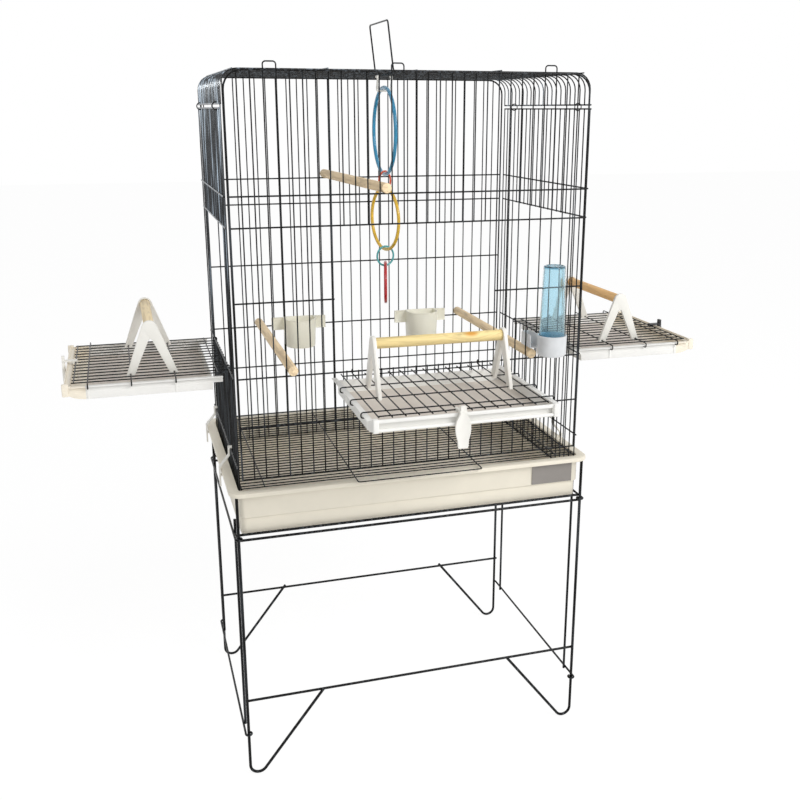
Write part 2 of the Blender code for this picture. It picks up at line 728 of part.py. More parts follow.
def base_tub():
    step = RIM_LOW - TUB_STEP + 0.0020
    floor = RIM_LOW - TUB_DEPTH
    rings = [
        (WALL_X - 0.0080, WALL_Y - 0.0100, 0.008, floor),
        (WALL_X - 0.0025, WALL_Y - 0.0045, 0.010, floor + 0.0060),
        (WALL_X - 0.0025, WALL_Y - 0.0045, 0.010, step - 0.0025), (WALL_X, WALL_Y, 0.0105, step),
        (WALL_X, WALL_Y, 0.0105, RIM_LOW), (RIM_X - 0.001, RIM_Y - 0.001, 0.021, RIM_LOW),
        (RIM_X, RIM_Y, 0.022, RIM_LOW + 0.0015), (RIM_X, RIM_Y, 0.022, RIM_TOP - 0.0025),
        (RIM_X - 0.0025, RIM_Y - 0.0025, 0.0195, RIM_TOP),
        (WALL_X - 0.0005, WALL_Y - 0.0005, 0.009, RIM_TOP),
        (WALL_X - TUB_SKIN, WALL_Y - TUB_SKIN, 0.008, RIM_TOP - 0.001),
        (WALL_X - TUB_SKIN, WALL_Y - TUB_SKIN, 0.008, step + 0.0020),
        (WALL_X - 0.0028 - TUB_SKIN, WALL_Y - 0.0048 - TUB_SKIN, 0.008, step - 0.0005),
        (WALL_X - 0.0028 - TUB_SKIN, WALL_Y - 0.0048 - TUB_SKIN, 0.008, floor + 0.0070),
        (WALL_X - 0.0090, WALL_Y - 0.0110, 0.006, floor + 0.0020),
    ]
    return place(lofted("base_tub", rings), CREAM, (0, 0, RIM_LOW), 0.45)


def label_plate():
    """A bare plate on the upper wall, near the right corner."""
    low = (WALL_X - 0.0140 - PLATE_WIDE, -WALL_Y - 0.0016, RIM_LOW - 0.0020 - PLATE_TALL)
    high = (WALL_X - 0.0140, -WALL_Y - 0.0004, RIM_LOW - 0.0020)
    middle = [(a + b) / 2 for a, b in zip(low, high)]
    return place(box("label_plate", low, high), (0.30, 0.28, 0.26, 1), middle, 0.5)


def floor_grid():
    rows = []
    for i in range(GRID_COUNT):
        y = GRID_FRONT + GRID_PITCH * i
        z = GRID_Z + WELD + CLEAR if i in (0, GRID_COUNT - 1) else GRID_Z
        rows.append([(-GRID_HALF_X, y, z), (GRID_HALF_X, y, z)])
    up = GRID_Z + 2 * BAR_R - WELD
    clear = GRID_Z + 2 * BAR_R + CLEAR
    back = GRID_FRONT + GRID_PITCH * (GRID_COUNT - 1) + 0.0013
    side = [(-0.110, back, clear), (-0.110, PULL_Y + 0.003, clear), (-0.107, PULL_Y, clear)]
    pull = side + [(-x, y, z) for x, y, z in reversed(side)]
    stays = [[(x, GRID_FRONT - 0.0013, up), (x, back, up)] for x in (-0.262, 0.262)]
    grid = wires("floor_grid", rows, BAR_R)
    joined(grid, wires("stays", [pull] + stays, BAR_R))
    return place(grid, BLACK, (0, GRID_FRONT, GRID_Z), 0.4)


def tub_clips():
    """Four clips that grip the rim and hold down the side panels' lower wire."""
    wire_top = SIDE_5 + RAIL_R
    past = SIDE_X + SPAN_OUT + RAIL_R + 0.0004
    inner, thick = SIDE_X - 0.0014, 0.0026
    rim = RIM_X + 0.0013
    outline = [
        (inner, wire_top + 0.0005), (past, wire_top + 0.0005), (past, wire_top - 0.0123),
        (rim, RIM_TOP + 0.0035), (rim, RIM_LOW - 0.0016), (RIM_X - 0.0023, RIM_LOW - 0.0016),
        (RIM_X - 0.0023, RIM_LOW - 0.0040), (rim, RIM_LOW - 0.0040), (rim, RIM_LOW - 0.0225),
        (rim + thick, RIM_LOW - 0.0225), (rim + thick, RIM_TOP + 0.0045),
        (past + thick, wire_top - 0.0111), (past + thick, wire_top + 0.0005 + thick),
        (inner, wire_top + 0.0005 + thick),
    ]
    pitch = 2 * SIDE_HALF_Y / BARS_Y
    for label, sx, gap in (("fl", -1, 5), ("bl", -1, 18), ("fr", 1, 5), ("br", 1, 18)):
        y = -SIDE_HALF_Y + pitch * (gap + 0.5)
        mirrored = [(sx * u, v) for u, v in outline]
        clip = prism("tub_clip_" + label, mirrored, y - 0.005, y + 0.005, (0, 2, 1))
        place(clip, WHITE, (sx * 0.3192, y, RIM_LOW - 0.0015), 0.35)


# Stand

def leg_path(side, y):
    """A leg from under the rim to its rounded foot, then the brace back up to the low bar."""
    points = [
        (LEG_X, RIM_LOW - 0.0004), (LEG_X, 0.0170), (0.3078, 0.0085), (0.3015, 0.0018),
        (0.2915, 0.0018), (0.2840, 0.0075), (BRACE_X - 0.0018, LOW_BAR + 0.0024),
    ]
    return [(side * x, y, z) for x, z in points]


def end_frame(name, sign):
    """The stand's front (sign -1) or back (sign +1) frame."""
    y = sign * LEG_Y
    legs = wires(name, [leg_path(-1, y), leg_path(1, y)], LEG_R, 6)
    bar_y = sign * CROSS_Y
    reach = LEG_X + 0.0030
    bars = [[(-reach, bar_y, z), (reach, bar_y, z)] for z in (*TOP_BARS, LOW_BAR)]
    joined(legs, wires("bars", bars, BAR2_R, 6))
    cut(legs, box("floor", (-0.5, y - 0.02, -0.05), (0.5, y + 0.02, 0.0)))
    return place(legs, BLACK, (0, y, LOW_BAR), 0.4)


def side_frame(name, sign):
    """A side frame: eyes round the front leg, open hooks round the back leg."""
    out = LEG_X + EYE_R
    loops = []
    for z in (FRAME_LOW, FRAME_HIGH):
        path = []
        for angle in (110, 150, 195, 240, 285, 325):
            spin = math.radians(angle)
            path.append((LEG_X + EYE_R * math.cos(spin), -LEG_Y + EYE_R * math.sin(spin), z))
        path += [(out, -LEG_Y + 0.0005, z), (out, LEG_Y - 0.0005, z)]
        for angle in (35, 70, 98):
            spin = math.radians(angle)
            path.append((LEG_X + EYE_R * math.cos(spin), LEG_Y + EYE_R * math.sin(spin), z))
        loops.append([(sign * x, y, z) for x, y, z in path])
    frame = wires(name, loops, EYE_WIRE_R, 6)
    post_x = sign * (out - EYE_WIRE_R - BAR2_R + 0.0006)
    posts = [
        [(post_x, y, FRAME_LOW - 0.0024), (post_x, y, FRAME_POST_TOP)]
        for y in (-FRAME_POST_Y, FRAME_POST_Y)
    ]
    joined(frame, wires("posts", posts, BAR2_R, 6))
    return place(frame, BLACK, (sign * LEG_X, -LEG_Y, FRAME_LOW), 0.4)


def main():
    clear_scene()
    end_frame("stand_front_frame", -1)
    end_frame("stand_back_frame", 1)
    side_frame("stand_left_frame", -1)
    side_frame("stand_right_frame", 1)
    base_tub()
    label_plate()
    floor_grid()
    tub_clips()
    face_panel("front_panel", -1)
    face_panel("back_panel", 1)
    side_panel("left_panel", -1)
    side_panel("right_panel", 1)
    top_panel()
    panel_rings()
    handle_bail()
    doors()
    inner_perch("perch_low_left", 4, 4, RAIL_4)
    inner_perch("perch_low_right", 25, 25, RAIL_4)
    inner_perch("perch_high", 12, 11, RAIL_1)
    feeder_cup("feeder_cup_left", -0.1300)
    feeder_cup("feeder_cup_right", 0.1230)
    drinker()
    toy()


main()
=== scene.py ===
import json
import math

import bmesh
import bpy
from bpy.props import FloatProperty, FloatVectorProperty, PointerProperty
from mathutils import Matrix, Vector

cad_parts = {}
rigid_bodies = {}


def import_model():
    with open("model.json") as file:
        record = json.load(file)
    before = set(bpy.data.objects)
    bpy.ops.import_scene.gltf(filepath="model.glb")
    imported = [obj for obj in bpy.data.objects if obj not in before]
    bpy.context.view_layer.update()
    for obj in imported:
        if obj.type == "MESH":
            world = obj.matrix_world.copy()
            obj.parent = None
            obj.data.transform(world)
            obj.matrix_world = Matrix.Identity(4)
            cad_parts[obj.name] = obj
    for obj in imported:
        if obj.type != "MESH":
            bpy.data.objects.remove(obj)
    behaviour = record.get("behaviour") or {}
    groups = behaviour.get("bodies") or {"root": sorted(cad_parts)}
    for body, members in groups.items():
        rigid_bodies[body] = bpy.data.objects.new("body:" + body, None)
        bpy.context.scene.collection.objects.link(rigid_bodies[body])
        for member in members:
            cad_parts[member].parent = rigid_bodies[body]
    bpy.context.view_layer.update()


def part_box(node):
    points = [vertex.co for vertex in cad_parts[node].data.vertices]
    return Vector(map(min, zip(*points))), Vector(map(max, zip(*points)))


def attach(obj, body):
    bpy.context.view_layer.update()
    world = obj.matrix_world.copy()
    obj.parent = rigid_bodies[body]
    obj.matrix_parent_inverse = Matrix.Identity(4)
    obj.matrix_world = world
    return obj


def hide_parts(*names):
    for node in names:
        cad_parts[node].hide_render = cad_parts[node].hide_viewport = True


bl_info = {
    "name": "Bird Cage on Stand",
    "version": (1, 0, 0),
    "blender": (4, 5, 0),
    "location": "3D View > Sidebar > Bird Cage",
    "description": "Builds a wire bird cage with its fittings, landing doors, tub and folding stand",
    "category": "Object",
}

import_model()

# Everything below is in metres, X to the right and Y to the back, from the middle of the tub
TUB_LOW, TUB_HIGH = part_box("base_tub")
MID_Y = (TUB_LOW.y + TUB_HIGH.y) / 2

# Wirework of the cage
BARS_X, BARS_Y = 30, 20
FRONT_HALF_X, SIDE_HALF_Y, TOP_HALF_Y = 0.297, 0.189, 0.188
FACE_Y, SIDE_X = 0.193, 0.301
PITCH_X, PITCH_Y = 2 * FRONT_HALF_X / BARS_X, 2 * SIDE_HALF_Y / BARS_Y
OPENING_GAPS = 7  # From the middle of a face to its door opening's edge
OPENING_BARS = 13
RAIL_OUT, SPAN_OUT = 0.00175, 0.00275
RAIL_R = 0.00135  # Half a level wire's thickness
OVER_BAR, OVER_RAIL = 0.0013, 0.0015  # How far a bar and a level wire run past the last wire they cross
WELD, CLEAR = 0.0007, 0.0003
TOP_Z, FACE_TOP_Z, LOOP_Z = 1.196, 1.195, 1.2075
RAIL_1, RAIL_2, RAIL_3, RAIL_4, RAIL_5 = 1.011, 0.963, 0.846, 0.724, 0.642
FRONT_END_Z, BACK_6, PANEL_END_Z = 0.5535, 0.5415, 0.494
SKIRT_Z, SIDE_TOP_Z = 1.147, 1.1405
SIDE_5, SIDE_6 = 0.572, 0.5352
ARCH_R, WIRE_BEND = 0.028, 0.0045
STAY_X, BEND_STAY_X, STAY_REACH = 0.14, 0.2833, FACE_Y + 0.0045
TIE_Y = 0.1415

# Landing doors: x along the hinge, t outwards from it
DOOR_Z = -0.0034
CROSS_Z, SPAN_Z = DOOR_Z + 0.0015, DOOR_Z + 0.0024
CROSS_T = (0.0193, 0.0873, 0.1563, 0.2228, 0.2443)
DOOR_END, DOOR_HALF, DOOR_PITCH, DOOR_ROOT = 0.2478, 0.130, 0.020, 0.0045
HOOK_X = 0.150
HINGE_Y, HINGE_X = FACE_Y + RAIL_OUT, SIDE_X + RAIL_OUT
LATCH_X, LATCH_OUT = -0.0099, 0.2672
TRAY_HALF, FLANGE_HALF = 0.1405, 0.1475
TRAY_TOP, TRAY_BOTTOM, NOSE_T = DOOR_Z - 0.0018, DOOR_Z - 0.0240, 0.2262
TRAY_ROOT, TRAY_END, FLANGE_ROOT = 0.0290, 0.2520, 0.0123
STAND_X, DOWEL_T, DOWEL_Z = 0.1053, 0.1218, 0.0745

# Cups
CUP_BACK = FACE_Y - 0.0017
CUP_TOP, CUP_BOTTOM, CUP_R, CUP_WALL = 0.742, 0.686, 0.031, 0.0020
WING_LOW, WING_HIGH = 0.7165, 0.7412

# Tub, floor grid and clips
RIM_X, RIM_Y, RIM_TOP, RIM_LOW = 0.3215, 0.2145, 0.5365, 0.5285
WALL_X, WALL_Y = 0.3065, 0.2005
TUB_STEP, TUB_DEPTH, TUB_SKIN = 0.0420, 0.0745, 0.0015
GRID_Z, GRID_FRONT, GRID_PITCH, GRID_COUNT = 0.5385, -0.198, 0.01303, 30
GRID_HALF, GRID_STAY_X = 0.299, 0.262
PULL_Y, PULL_HALF = -0.2265, 0.110

# Drinker
SPOUT_X = -FRONT_HALF_X + PITCH_X * 25.5
DRINK_X, DRINK_Y, DRINK_BASE = SPOUT_X + 0.0256, -FACE_Y - 0.0298, RAIL_4 + 0.0100
DRINK_R, DRINK_TALL = 0.0255, 0.1540

# Toy: where the double hook's foot carries the first ring, and what hangs from it in turn:
# kind, colour, size across, thickness and turn from the Y axis in degrees
TOY_HOOK_Z, TOY_HOOK_THICK = 1.1702, 0.0036
RINGS = (
    ("ring", "blue", 0.154, 0.0065, 0), ("link", "orange", 0.038, 0.0035, 51),
    ("ring", "yellow", 0.115, 0.0060, -11), ("link", "teal", 0.038, 0.0035, 73),
    ("ring", "red", 0.078, 0.0060, 15),
)

# Stand
LEG_X, LEG_Y, CROSS_Y = 0.310, 0.2055, 0.2011
TOP_BARS, LOW_BAR = (0.4595, 0.4495), 0.1455
BRACE_X, LEG_TIP_Z = 0.1767, -0.0260
FRAME_LOW, FRAME_HIGH, FRAME_POST_Y, FRAME_POST_TOP = 0.083, 0.4545, 0.170, 0.476
EYE_R = 0.0051

SIDES = {
    "front": (0, (0, -HINGE_Y, RAIL_4)),
    "left": (-90, (-HINGE_X, 0, RAIL_4)),
    "right": (90, (HINGE_X, 0, RAIL_4)),
}


# Colours

def linear(code):
    """The linear values of a colour written as on a screen, such as 1E1D1E."""
    parts = [int(code[i:i + 2], 16) / 255 for i in (0, 2, 4)]
    return [p / 12.92 if p <= 0.04045 else ((p + 0.055) / 1.055) ** 2.4 for p in parts]


def colour_choice(title, told, code):
    return FloatVectorProperty(
        name=title, description=told, default=linear(code), size=3, min=0, max=1, subtype="COLOR"
    )


def length_choice(title, told, size):
    return FloatProperty(
        name=title, description=told, default=size, min=0.0001, soft_max=0.1,
        unit="LENGTH", subtype="DISTANCE", precision=4,
    )


class CageSizes(bpy.types.PropertyGroup):
    """Thicknesses and bends that a maker would change."""

    bar: length_choice("Bar", "Thickness of the upright bars, roof bows and floor grid", 0.0022)
    rail: length_choice("Rail", "Thickness of the level wires round the cage", 0.0027)
    edge: length_choice("Face Edge", "Thickness of the wire round the front and the back", 0.0030)
    door_wire: length_choice("Door Wire", "Thickness of the wires of the landing doors", 0.0021)
    leg: length_choice("Leg", "Thickness of the stand's legs", 0.0052)
    stand_bar: length_choice("Stand Bar", "Thickness of the stand's level bars and posts", 0.0045)
    eye_wire: length_choice("Eye Wire", "Thickness of the side frames' level wires", 0.0040)
    foot_bend: length_choice("Foot Bend", "Radius of the leg's bend at the floor", 0.0149)
    dowel: length_choice("Dowel", "Thickness of the dowels over the landing doors", 0.0170)
    perch: length_choice("Perch", "Thickness of the perches in the cage", 0.0162)
    frame_plate: length_choice("Dowel Stand", "Thickness of the stands that hold the dowels", 0.0060)


class CageColours(bpy.types.PropertyGroup):
    """Colours of the cage's materials."""

    coat: colour_choice("Wire Coat", "Coating on all the wire", "0D0D0E")
    # The coat's sheen streak is painted sheen: a steel-grey tone that stands in for light on the bars
    coat_streak: colour_choice("Coat Streak", "Where the coating lies thin", "44494E")
    tub: colour_choice("Tub", "Moulded tub under the cage", "EEE7D6")
    # The tub floor's colour is painted light: the tub's own plastic made lighter for the light that falls on
    # the floor under the grid
    tub_floor: colour_choice("Tub Floor", "Floor of the tub, under the grid", "F8EFDE")
    plate: colour_choice("Plate", "Bare plate on the tub's front", "8C8782")
    tray: colour_choice("Tray", "Trays under the landing doors", "F3F2EE")
    tray_floor: colour_choice("Tray Floor", "Inside of the trays", "E4DBD1")
    # The tray nose's cream is painted warm light on the side trays' noses; the tray is one white plastic
    tray_nose: colour_choice("Tray Nose", "Outer ends of the side trays", "F9F0DE")
    fitting: colour_choice("Fittings", "Clips, latches and dowel stands", "F3F1EA")
    dark_fitting: colour_choice("Dark Latch", "Latch of the right door", "222224")
    cup: colour_choice("Cups", "Seed cups at the back", "F7F4E3")
    bottle: colour_choice("Bottle", "Clear tube of the drinker", "8CD2F0")
    bottle_base: colour_choice("Bottle Base", "Cup under the drinker's tube", "EFF1F3")
    front_pine: colour_choice("Front Dowel", "Pale pine of the front dowel", "F6DE9E")
    left_pine: colour_choice("Left Dowel", "Pine of the left dowel", "FBE4BA")
    right_pine: colour_choice("Right Dowel", "Pine of the right dowel", "F8C888")
    knot: colour_choice("Knot", "Knot in the front dowel", "DE9A35")
    perch: colour_choice("Perches", "Wood of the perches in the cage", "FADFB6")
    blue: colour_choice("Blue Ring", "Largest ring of the toy", "2494C0")
    orange: colour_choice("Orange Link", "Upper small link of the toy", "E2562A")
    yellow: colour_choice("Yellow Ring", "Middle ring of the toy", "EFC230")
    teal: colour_choice("Teal Link", "Lower small link of the toy", "4FB3B5")
    red: colour_choice("Red Ring", "Lowest ring of the toy", "C71722")


def size_of(key):
    return getattr(bpy.context.scene.cage_sizes, key)


def colour_of(key):
    return tuple(getattr(bpy.context.scene.cage_colours, key))


# Materials. Each finish below adds its nodes and gives back what goes into the shader

def feed(tree, node, inputs):
    """Gives a node its inputs: a node or a socket is linked, anything else is the input's own value."""
    for key, value in inputs.items():
        if isinstance(value, bpy.types.Node):
            value = value.outputs[0]
        if isinstance(value, bpy.types.NodeSocket):
            tree.links.new(value, node.inputs[key])
        else:
            node.inputs[key].default_value = value


def add(tree, kind, inputs=None, stops=(), **settings):
    """One node with its settings, its inputs and, on a ramp, its stops from low to high."""
    node = tree.nodes.new(kind)
    for key, value in settings.items():
        setattr(node, key, value)
    feed(tree, node, inputs or {})
    for index, (position, colour) in enumerate(stops):
        marks = node.color_ramp.elements
        mark = marks[index] if index < 2 else marks.new(position)
        mark.position, mark.color = position, colour
    return node


def new_material(name):
    """A material with its tree, its shader and its Object coordinates."""
    made = bpy.data.materials.new(name)
    made.use_nodes = True
    tree = made.node_tree
    return made, tree, tree.nodes["Principled BSDF"], add(tree, "ShaderNodeTexCoord").outputs["Object"]


def shade(colour, by):
    """The same colour, lighter or darker by this factor."""
    return (*[min(1.0, part * by) for part in colour], 1)


def coated_wire(tree, spot, colour):
    """Black coat on drawn wire, with random streaks of painted steel-grey sheen."""
    # Each wire's coat varies at random, and its lighter streaks are painted sheen in a steel-grey tone: a
    # pattern some millimetres wide and drawn out upwards
    drawn = add(tree, "ShaderNodeMapping", {"Vector": spot, "Scale": (190.0, 190.0, 7.0)})
    pool = add(tree, "ShaderNodeTexNoise", {"Vector": drawn, "Scale": 1.0, "Detail": 2.0})
    # The lighter stop is painted sheen, the steel-grey of lit bars
    tones = (0.50, shade(colour, 0.5)), (0.72, shade(colour_of("coat_streak"), 1))
    # Orange peel, under half a millimetre across
    peel = add(tree, "ShaderNodeTexNoise", {"Vector": spot, "Scale": 2200.0, "Detail": 1.0})
    return {
        "Base Color": add(tree, "ShaderNodeValToRGB", {"Fac": pool}, tones),
        "Roughness": add(tree, "ShaderNodeMapRange", {"Value": pool, "To Min": 0.16, "To Max": 0.40}),
        "Specular IOR Level": 0.16,
        "Normal": add(tree, "ShaderNodeBump", {"Height": peel, "Strength": 1.0, "Distance": 0.00004}),
    }


def moulded(tree, spot, colour, rough=0.42, mottle=0.045):
    """Moulded plastic with a fine spark-eroded grain and a faint flow mottle."""
    # Flow marks some centimetres wide keep a large wall from looking printed
    flow = add(tree, "ShaderNodeTexNoise", {"Vector": spot, "Scale": 16.0, "Detail": 4.0, "Roughness": 0.6})
    tones = (0.3, shade(colour, 1 - mottle)), (0.7, shade(colour, 1 + mottle / 2))
    # Grain about a millimetre across
    grain = add(tree, "ShaderNodeTexNoise", {"Vector": spot, "Scale": 900.0, "Detail": 2.0})
    return {
        "Base Color": add(tree, "ShaderNodeValToRGB", {"Fac": flow}, tones),
        "Roughness": add(tree, "ShaderNodeMapRange", {
            "Value": flow, "To Min": rough - 0.07, "To Max": rough + 0.09,
        }),
        "Normal": add(tree, "ShaderNodeBump", {"Height": grain, "Strength": 1.0, "Distance": 0.00003}),
    }


def glossy_plastic(tree, spot, colour):
    """Polished ring plastic, a little see-through at its edge."""
    # Pigment streaks round the ring, and small scratches from beaks
    streak = add(tree, "ShaderNodeTexNoise", {"Vector": spot, "Scale": 90.0, "Detail": 3.0})
    tones = (0.3, shade(colour, 0.88)), (0.7, shade(colour, 1.12))
    scratch = add(tree, "ShaderNodeTexNoise", {"Vector": spot, "Scale": 1500.0, "Detail": 2.0})
    return {
        "Base Color": add(tree, "ShaderNodeValToRGB", {"Fac": streak}, tones),
        "Roughness": 0.22, "Coat Weight": 0.5, "Coat Roughness": 0.12, "Transmission Weight": 0.15,
        "Normal": add(tree, "ShaderNodeBump", {"Height": scratch, "Strength": 1.0, "Distance": 0.00003}),
    }


def clear_tube(tree, spot, colour, top):
    """Tinted clear tube: paler down its length, darker in the thick rim at the top."""
    def tint(power, by=1.0):
        return (*[part ** power * by for part in colour], 1)

    height = add(tree, "ShaderNodeSeparateXYZ", {"Vector": spot}).outputs["Z"]
    high = add(tree, "ShaderNodeMapRange", {"Value": height, "From Min": top - 0.150, "From Max": top})
    # Light crosses four faces of the wall, so the tint of each is a quarter of what the eye sees
    tints = (0.10, tint(0.62)), (0.32, tint(0.25)), (0.965, tint(0.25)), (0.985, tint(0.8, 0.75))
    # Faint draw lines down the wall from the mould
    drawn = add(tree, "ShaderNodeMapping", {"Vector": spot, "Scale": (110.0, 110.0, 3.0)})
    wave = add(tree, "ShaderNodeTexNoise", {"Vector": drawn, "Scale": 1.0, "Detail": 1.0})
    return {
        "Base Color": add(tree, "ShaderNodeValToRGB", {"Fac": high}, tints),
        "Roughness": 0.06, "Transmission Weight": 0.94, "IOR": 1.25, "Coat Weight": 0.4,
        "Normal": add(tree, "ShaderNodeBump", {"Height": wave, "Strength": 1.0, "Distance": 0.0003}),
    }


def milky_plastic(tree, spot, colour):
    """Cup plastic that lets some light through."""
    # Cloudy tone a centimetre across, as in thin moulded cups
    cloud = add(tree, "ShaderNodeTexNoise", {"Vector": spot, "Scale": 80.0, "Detail": 3.0})
    tones = (0.3, shade(colour, 0.94)), (0.7, shade(colour, 1.03))
    return {
        "Base Color": add(tree, "ShaderNodeValToRGB", {"Fac": cloud}, tones),
        "Roughness": 0.3, "Transmission Weight": 0.18,
        "Normal": add(tree, "ShaderNodeBump", {"Height": cloud, "Strength": 1.0, "Distance": 0.0001}),
    }


def turned_wood(tree, spot, colour, along="Y", knot=None):
    """Bare dowel wood with its grain along one axis, and a knot where one shows."""
    slow, fine = [70.0, 70.0, 70.0], [900.0, 900.0, 900.0]
    slow["XY".index(along)] = 5.0
    fine["XY".index(along)] = 30.0
    grain = spot
    if knot:
        # How near the knot is, drawn out along the dowel; the bands part and run round it
        squeeze = (0.42, 1.0, 1.0)
        middle = [part * by for part, by in zip(knot, squeeze)]
        drawn = add(tree, "ShaderNodeMapping", {"Vector": spot, "Scale": squeeze})
        away = add(tree, "ShaderNodeVectorMath", {0: drawn, 1: middle}, operation="DISTANCE").outputs["Value"]
        wide = add(tree, "ShaderNodeMapRange", {
            "Value": away, "From Max": 0.0200, "To Min": 1.0, "To Max": 0.0,
        })
        push = add(tree, "ShaderNodeVectorMath", {0: (0.03, 0.0, 0.018), "Scale": wide}, operation="SCALE")
        grain = add(tree, "ShaderNodeVectorMath", {0: spot, 1: push}, operation="ADD")
    # Growth bands a few millimetres wide, run out along the dowel
    band_map = add(tree, "ShaderNodeMapping", {"Vector": grain, "Scale": slow})
    band = add(tree, "ShaderNodeTexNoise", {"Vector": band_map, "Scale": 1.6, "Detail": 3.0, "Distortion": 1.2})
    tones = (0.34, shade(colour, 0.74)), (0.58, shade(colour, 1.06))
    tone = add(tree, "ShaderNodeValToRGB", {"Fac": band}, tones)
    if knot:
        near = add(tree, "ShaderNodeMapRange", {
            "Value": away, "From Min": 0.0022, "From Max": 0.0062, "To Min": 0.9, "To Max": 0.0,
        })
        brown = (*colour_of("knot"), 1)
        mix = add(tree, "ShaderNodeMix", {"Factor": near, "A": tone, "B": brown}, data_type="RGBA")
        tone = mix.outputs["Result"]
    # Pores drawn out along the grain
    pore_map = add(tree, "ShaderNodeMapping", {"Vector": spot, "Scale": fine})
    pore = add(tree, "ShaderNodeTexNoise", {"Vector": pore_map, "Scale": 1.0, "Detail": 2.0})
    return {
        "Base Color": tone, "Roughness": 0.62,
        "Normal": add(tree, "ShaderNodeBump", {"Height": pore, "Strength": 1.0, "Distance": 0.0001}),
    }


# Where the knot shows: on the front dowel, right of its middle, towards the front and the top
KNOT = (0.0505, MID_Y - HINGE_Y - DOWEL_T - 0.0050, RAIL_4 + DOWEL_Z + 0.0065)

# Each finish: the slot it fills, what makes it, its material's name and its settings
FINISHES = {
    "coat": ("black_wire", coated_wire, "coated_wire", {}),
    "tub": ("tub_plastic", moulded, "tub_plastic", {}),
    # Painted light: the tub's plastic, lighter on the floor under the grid
    "tub_floor": ("tub_plastic", moulded, "tub_floor_plastic", {"rough": 0.55, "mottle": 0.12}),
    "plate": ("label_grey", moulded, "plate_plastic", {"rough": 0.36, "mottle": 0.1}),
    "tray": ("tray_plastic", moulded, "tray_plastic", {"rough": 0.38}),
    "tray_floor": ("tray_plastic", moulded, "tray_floor_plastic", {"rough": 0.5, "mottle": 0.09}),
    # Painted warm light: the tray's plastic in a cream tone at the side trays' noses
    "tray_nose": ("tray_plastic", moulded, "tray_nose_plastic", {}),
    "fitting": ("white_plastic", moulded, "fitting_plastic", {"rough": 0.35, "mottle": 0.03}),
    "dark_fitting": ("black_plastic", moulded, "dark_fitting_plastic", {"rough": 0.35}),
    "cup": ("cup_plastic", moulded, "cup_plastic", {"rough": 0.33, "mottle": 0.05}),
    "bottle": ("clear_blue", clear_tube, "clear_tube", {"top": DRINK_BASE + DRINK_TALL}),
    "bottle_base": ("white_plastic", milky_plastic, "drinker_base_plastic", {}),
    "front_pine": ("pine", turned_wood, "front_dowel_pine", {"along": "X", "knot": KNOT}),
    "left_pine": ("pine", turned_wood, "left_dowel_pine", {}),
    "right_pine": ("pine", turned_wood, "right_dowel_pine", {}),
    "perch": ("perch_wood", turned_wood, "perch_wood", {}),
}
for kind, hue, *_ in RINGS:
    FINISHES[hue] = ("toy_" + hue, glossy_plastic, "%s_%s_plastic" % (hue, kind), {})
made_finishes = {}


def finish(key):
    """The material of this finish, made when it is first asked for."""
    if key not in made_finishes:
        maker, name, settings = FINISHES[key][1:]
        made, tree, shader, spot = new_material(name)
        feed(tree, shader, maker(tree, spot, colour_of(key), **settings))
        made_finishes[key] = made
    return made_finishes[key]


# Drawing and shaping

def deselect():
    if bpy.context.mode != "OBJECT":
        bpy.ops.object.mode_set(mode="OBJECT")
    bpy.ops.object.select_all(action="DESELECT")


def only(obj, mode="OBJECT"):
    """Selects one object and makes it active, in this mode."""
    deselect()
    obj.select_set(True)
    bpy.context.view_layer.objects.active = obj
    bpy.ops.object.mode_set(mode=mode)


def select_points(action="SELECT"):
    bpy.ops.mesh.select_all(action=action)


def blank(name):
    """An empty mesh in edit mode, ready to draw in."""
    deselect()
    bpy.ops.mesh.primitive_plane_add(size=0.01)
    obj = bpy.context.active_object
    obj.name = name
    bpy.ops.object.mode_set(mode="EDIT")
    bpy.ops.mesh.delete(type="VERT")
    return obj


def with_bends(points, bend):
    """The route through the points with its corners rounded at this radius."""
    points = [Vector(point) for point in points]
    route = [points[0]]
    for before, corner, after in zip(points, points[1:], points[2:]):
        way, on = corner - before, after - corner
        room = 0.499 * min(way.length, on.length)
        way.normalize()
        on.normalize()
        turn = way.angle(on)
        if bend <= 0 or turn < 0.02:
            route.append(corner)
            continue
        back = min(bend * math.tan(turn / 2), room)
        radius = back / math.tan(turn / 2)
        inward = (on - way * on.dot(way)).normalized()
        middle = corner - way * back + inward * radius
        steps = max(2, round(math.degrees(turn) / 15))
        for step in range(steps + 1):
            angle = turn * step / steps
            route.append(middle - inward * radius * math.cos(angle) + way * radius * math.sin(angle))
    return route + [points[-1]]


def draw(points, bend=0.0, count=1, step=(0, 0, 0)):
    """One run of wire, repeated count times at this step."""
    route = with_bends(points, bend)
    select_points("DESELECT")
    bpy.ops.mesh.primitive_plane_add(size=0.01, location=route[0])
    bpy.ops.mesh.merge(type="CENTER")
    for here, there in zip(route, route[1:]):
        bpy.ops.mesh.extrude_vertices_move(TRANSFORM_OT_translate={"value": there - here})
    if count > 1:
        bpy.ops.mesh.select_linked()
    for _ in range(count - 1):
        bpy.ops.mesh.duplicate_move(TRANSFORM_OT_translate={"value": step})


def wire_x(reach, y, z):
    """A run from side to side."""
    return ([(-reach, y, z), (reach, y, z)],)


def wire_y(x, reach, z):
    """A run from front to back."""
    return ([(x, -reach, z), (x, reach, z)],)


def wire_z(x, y, low, high, count=1, step=(0, 0, 0)):
    """An upright run, repeated count times at this step."""
    return [(x, y, low), (x, y, high)], 0, count, step


def arc(centre, radius, *degrees):
    """Points (u, v) on a circle, at a range of angles."""
    spins = [math.radians(angle) for angle in range(*degrees)]
    return [(centre[0] + radius * math.cos(spin), centre[1] + radius * math.sin(spin)) for spin in spins]


def mirrored(path):
    """The path, and from its end the same way back on the other side of x = 0."""
    return path + [(-x, *rest) for x, *rest in reversed(path)]


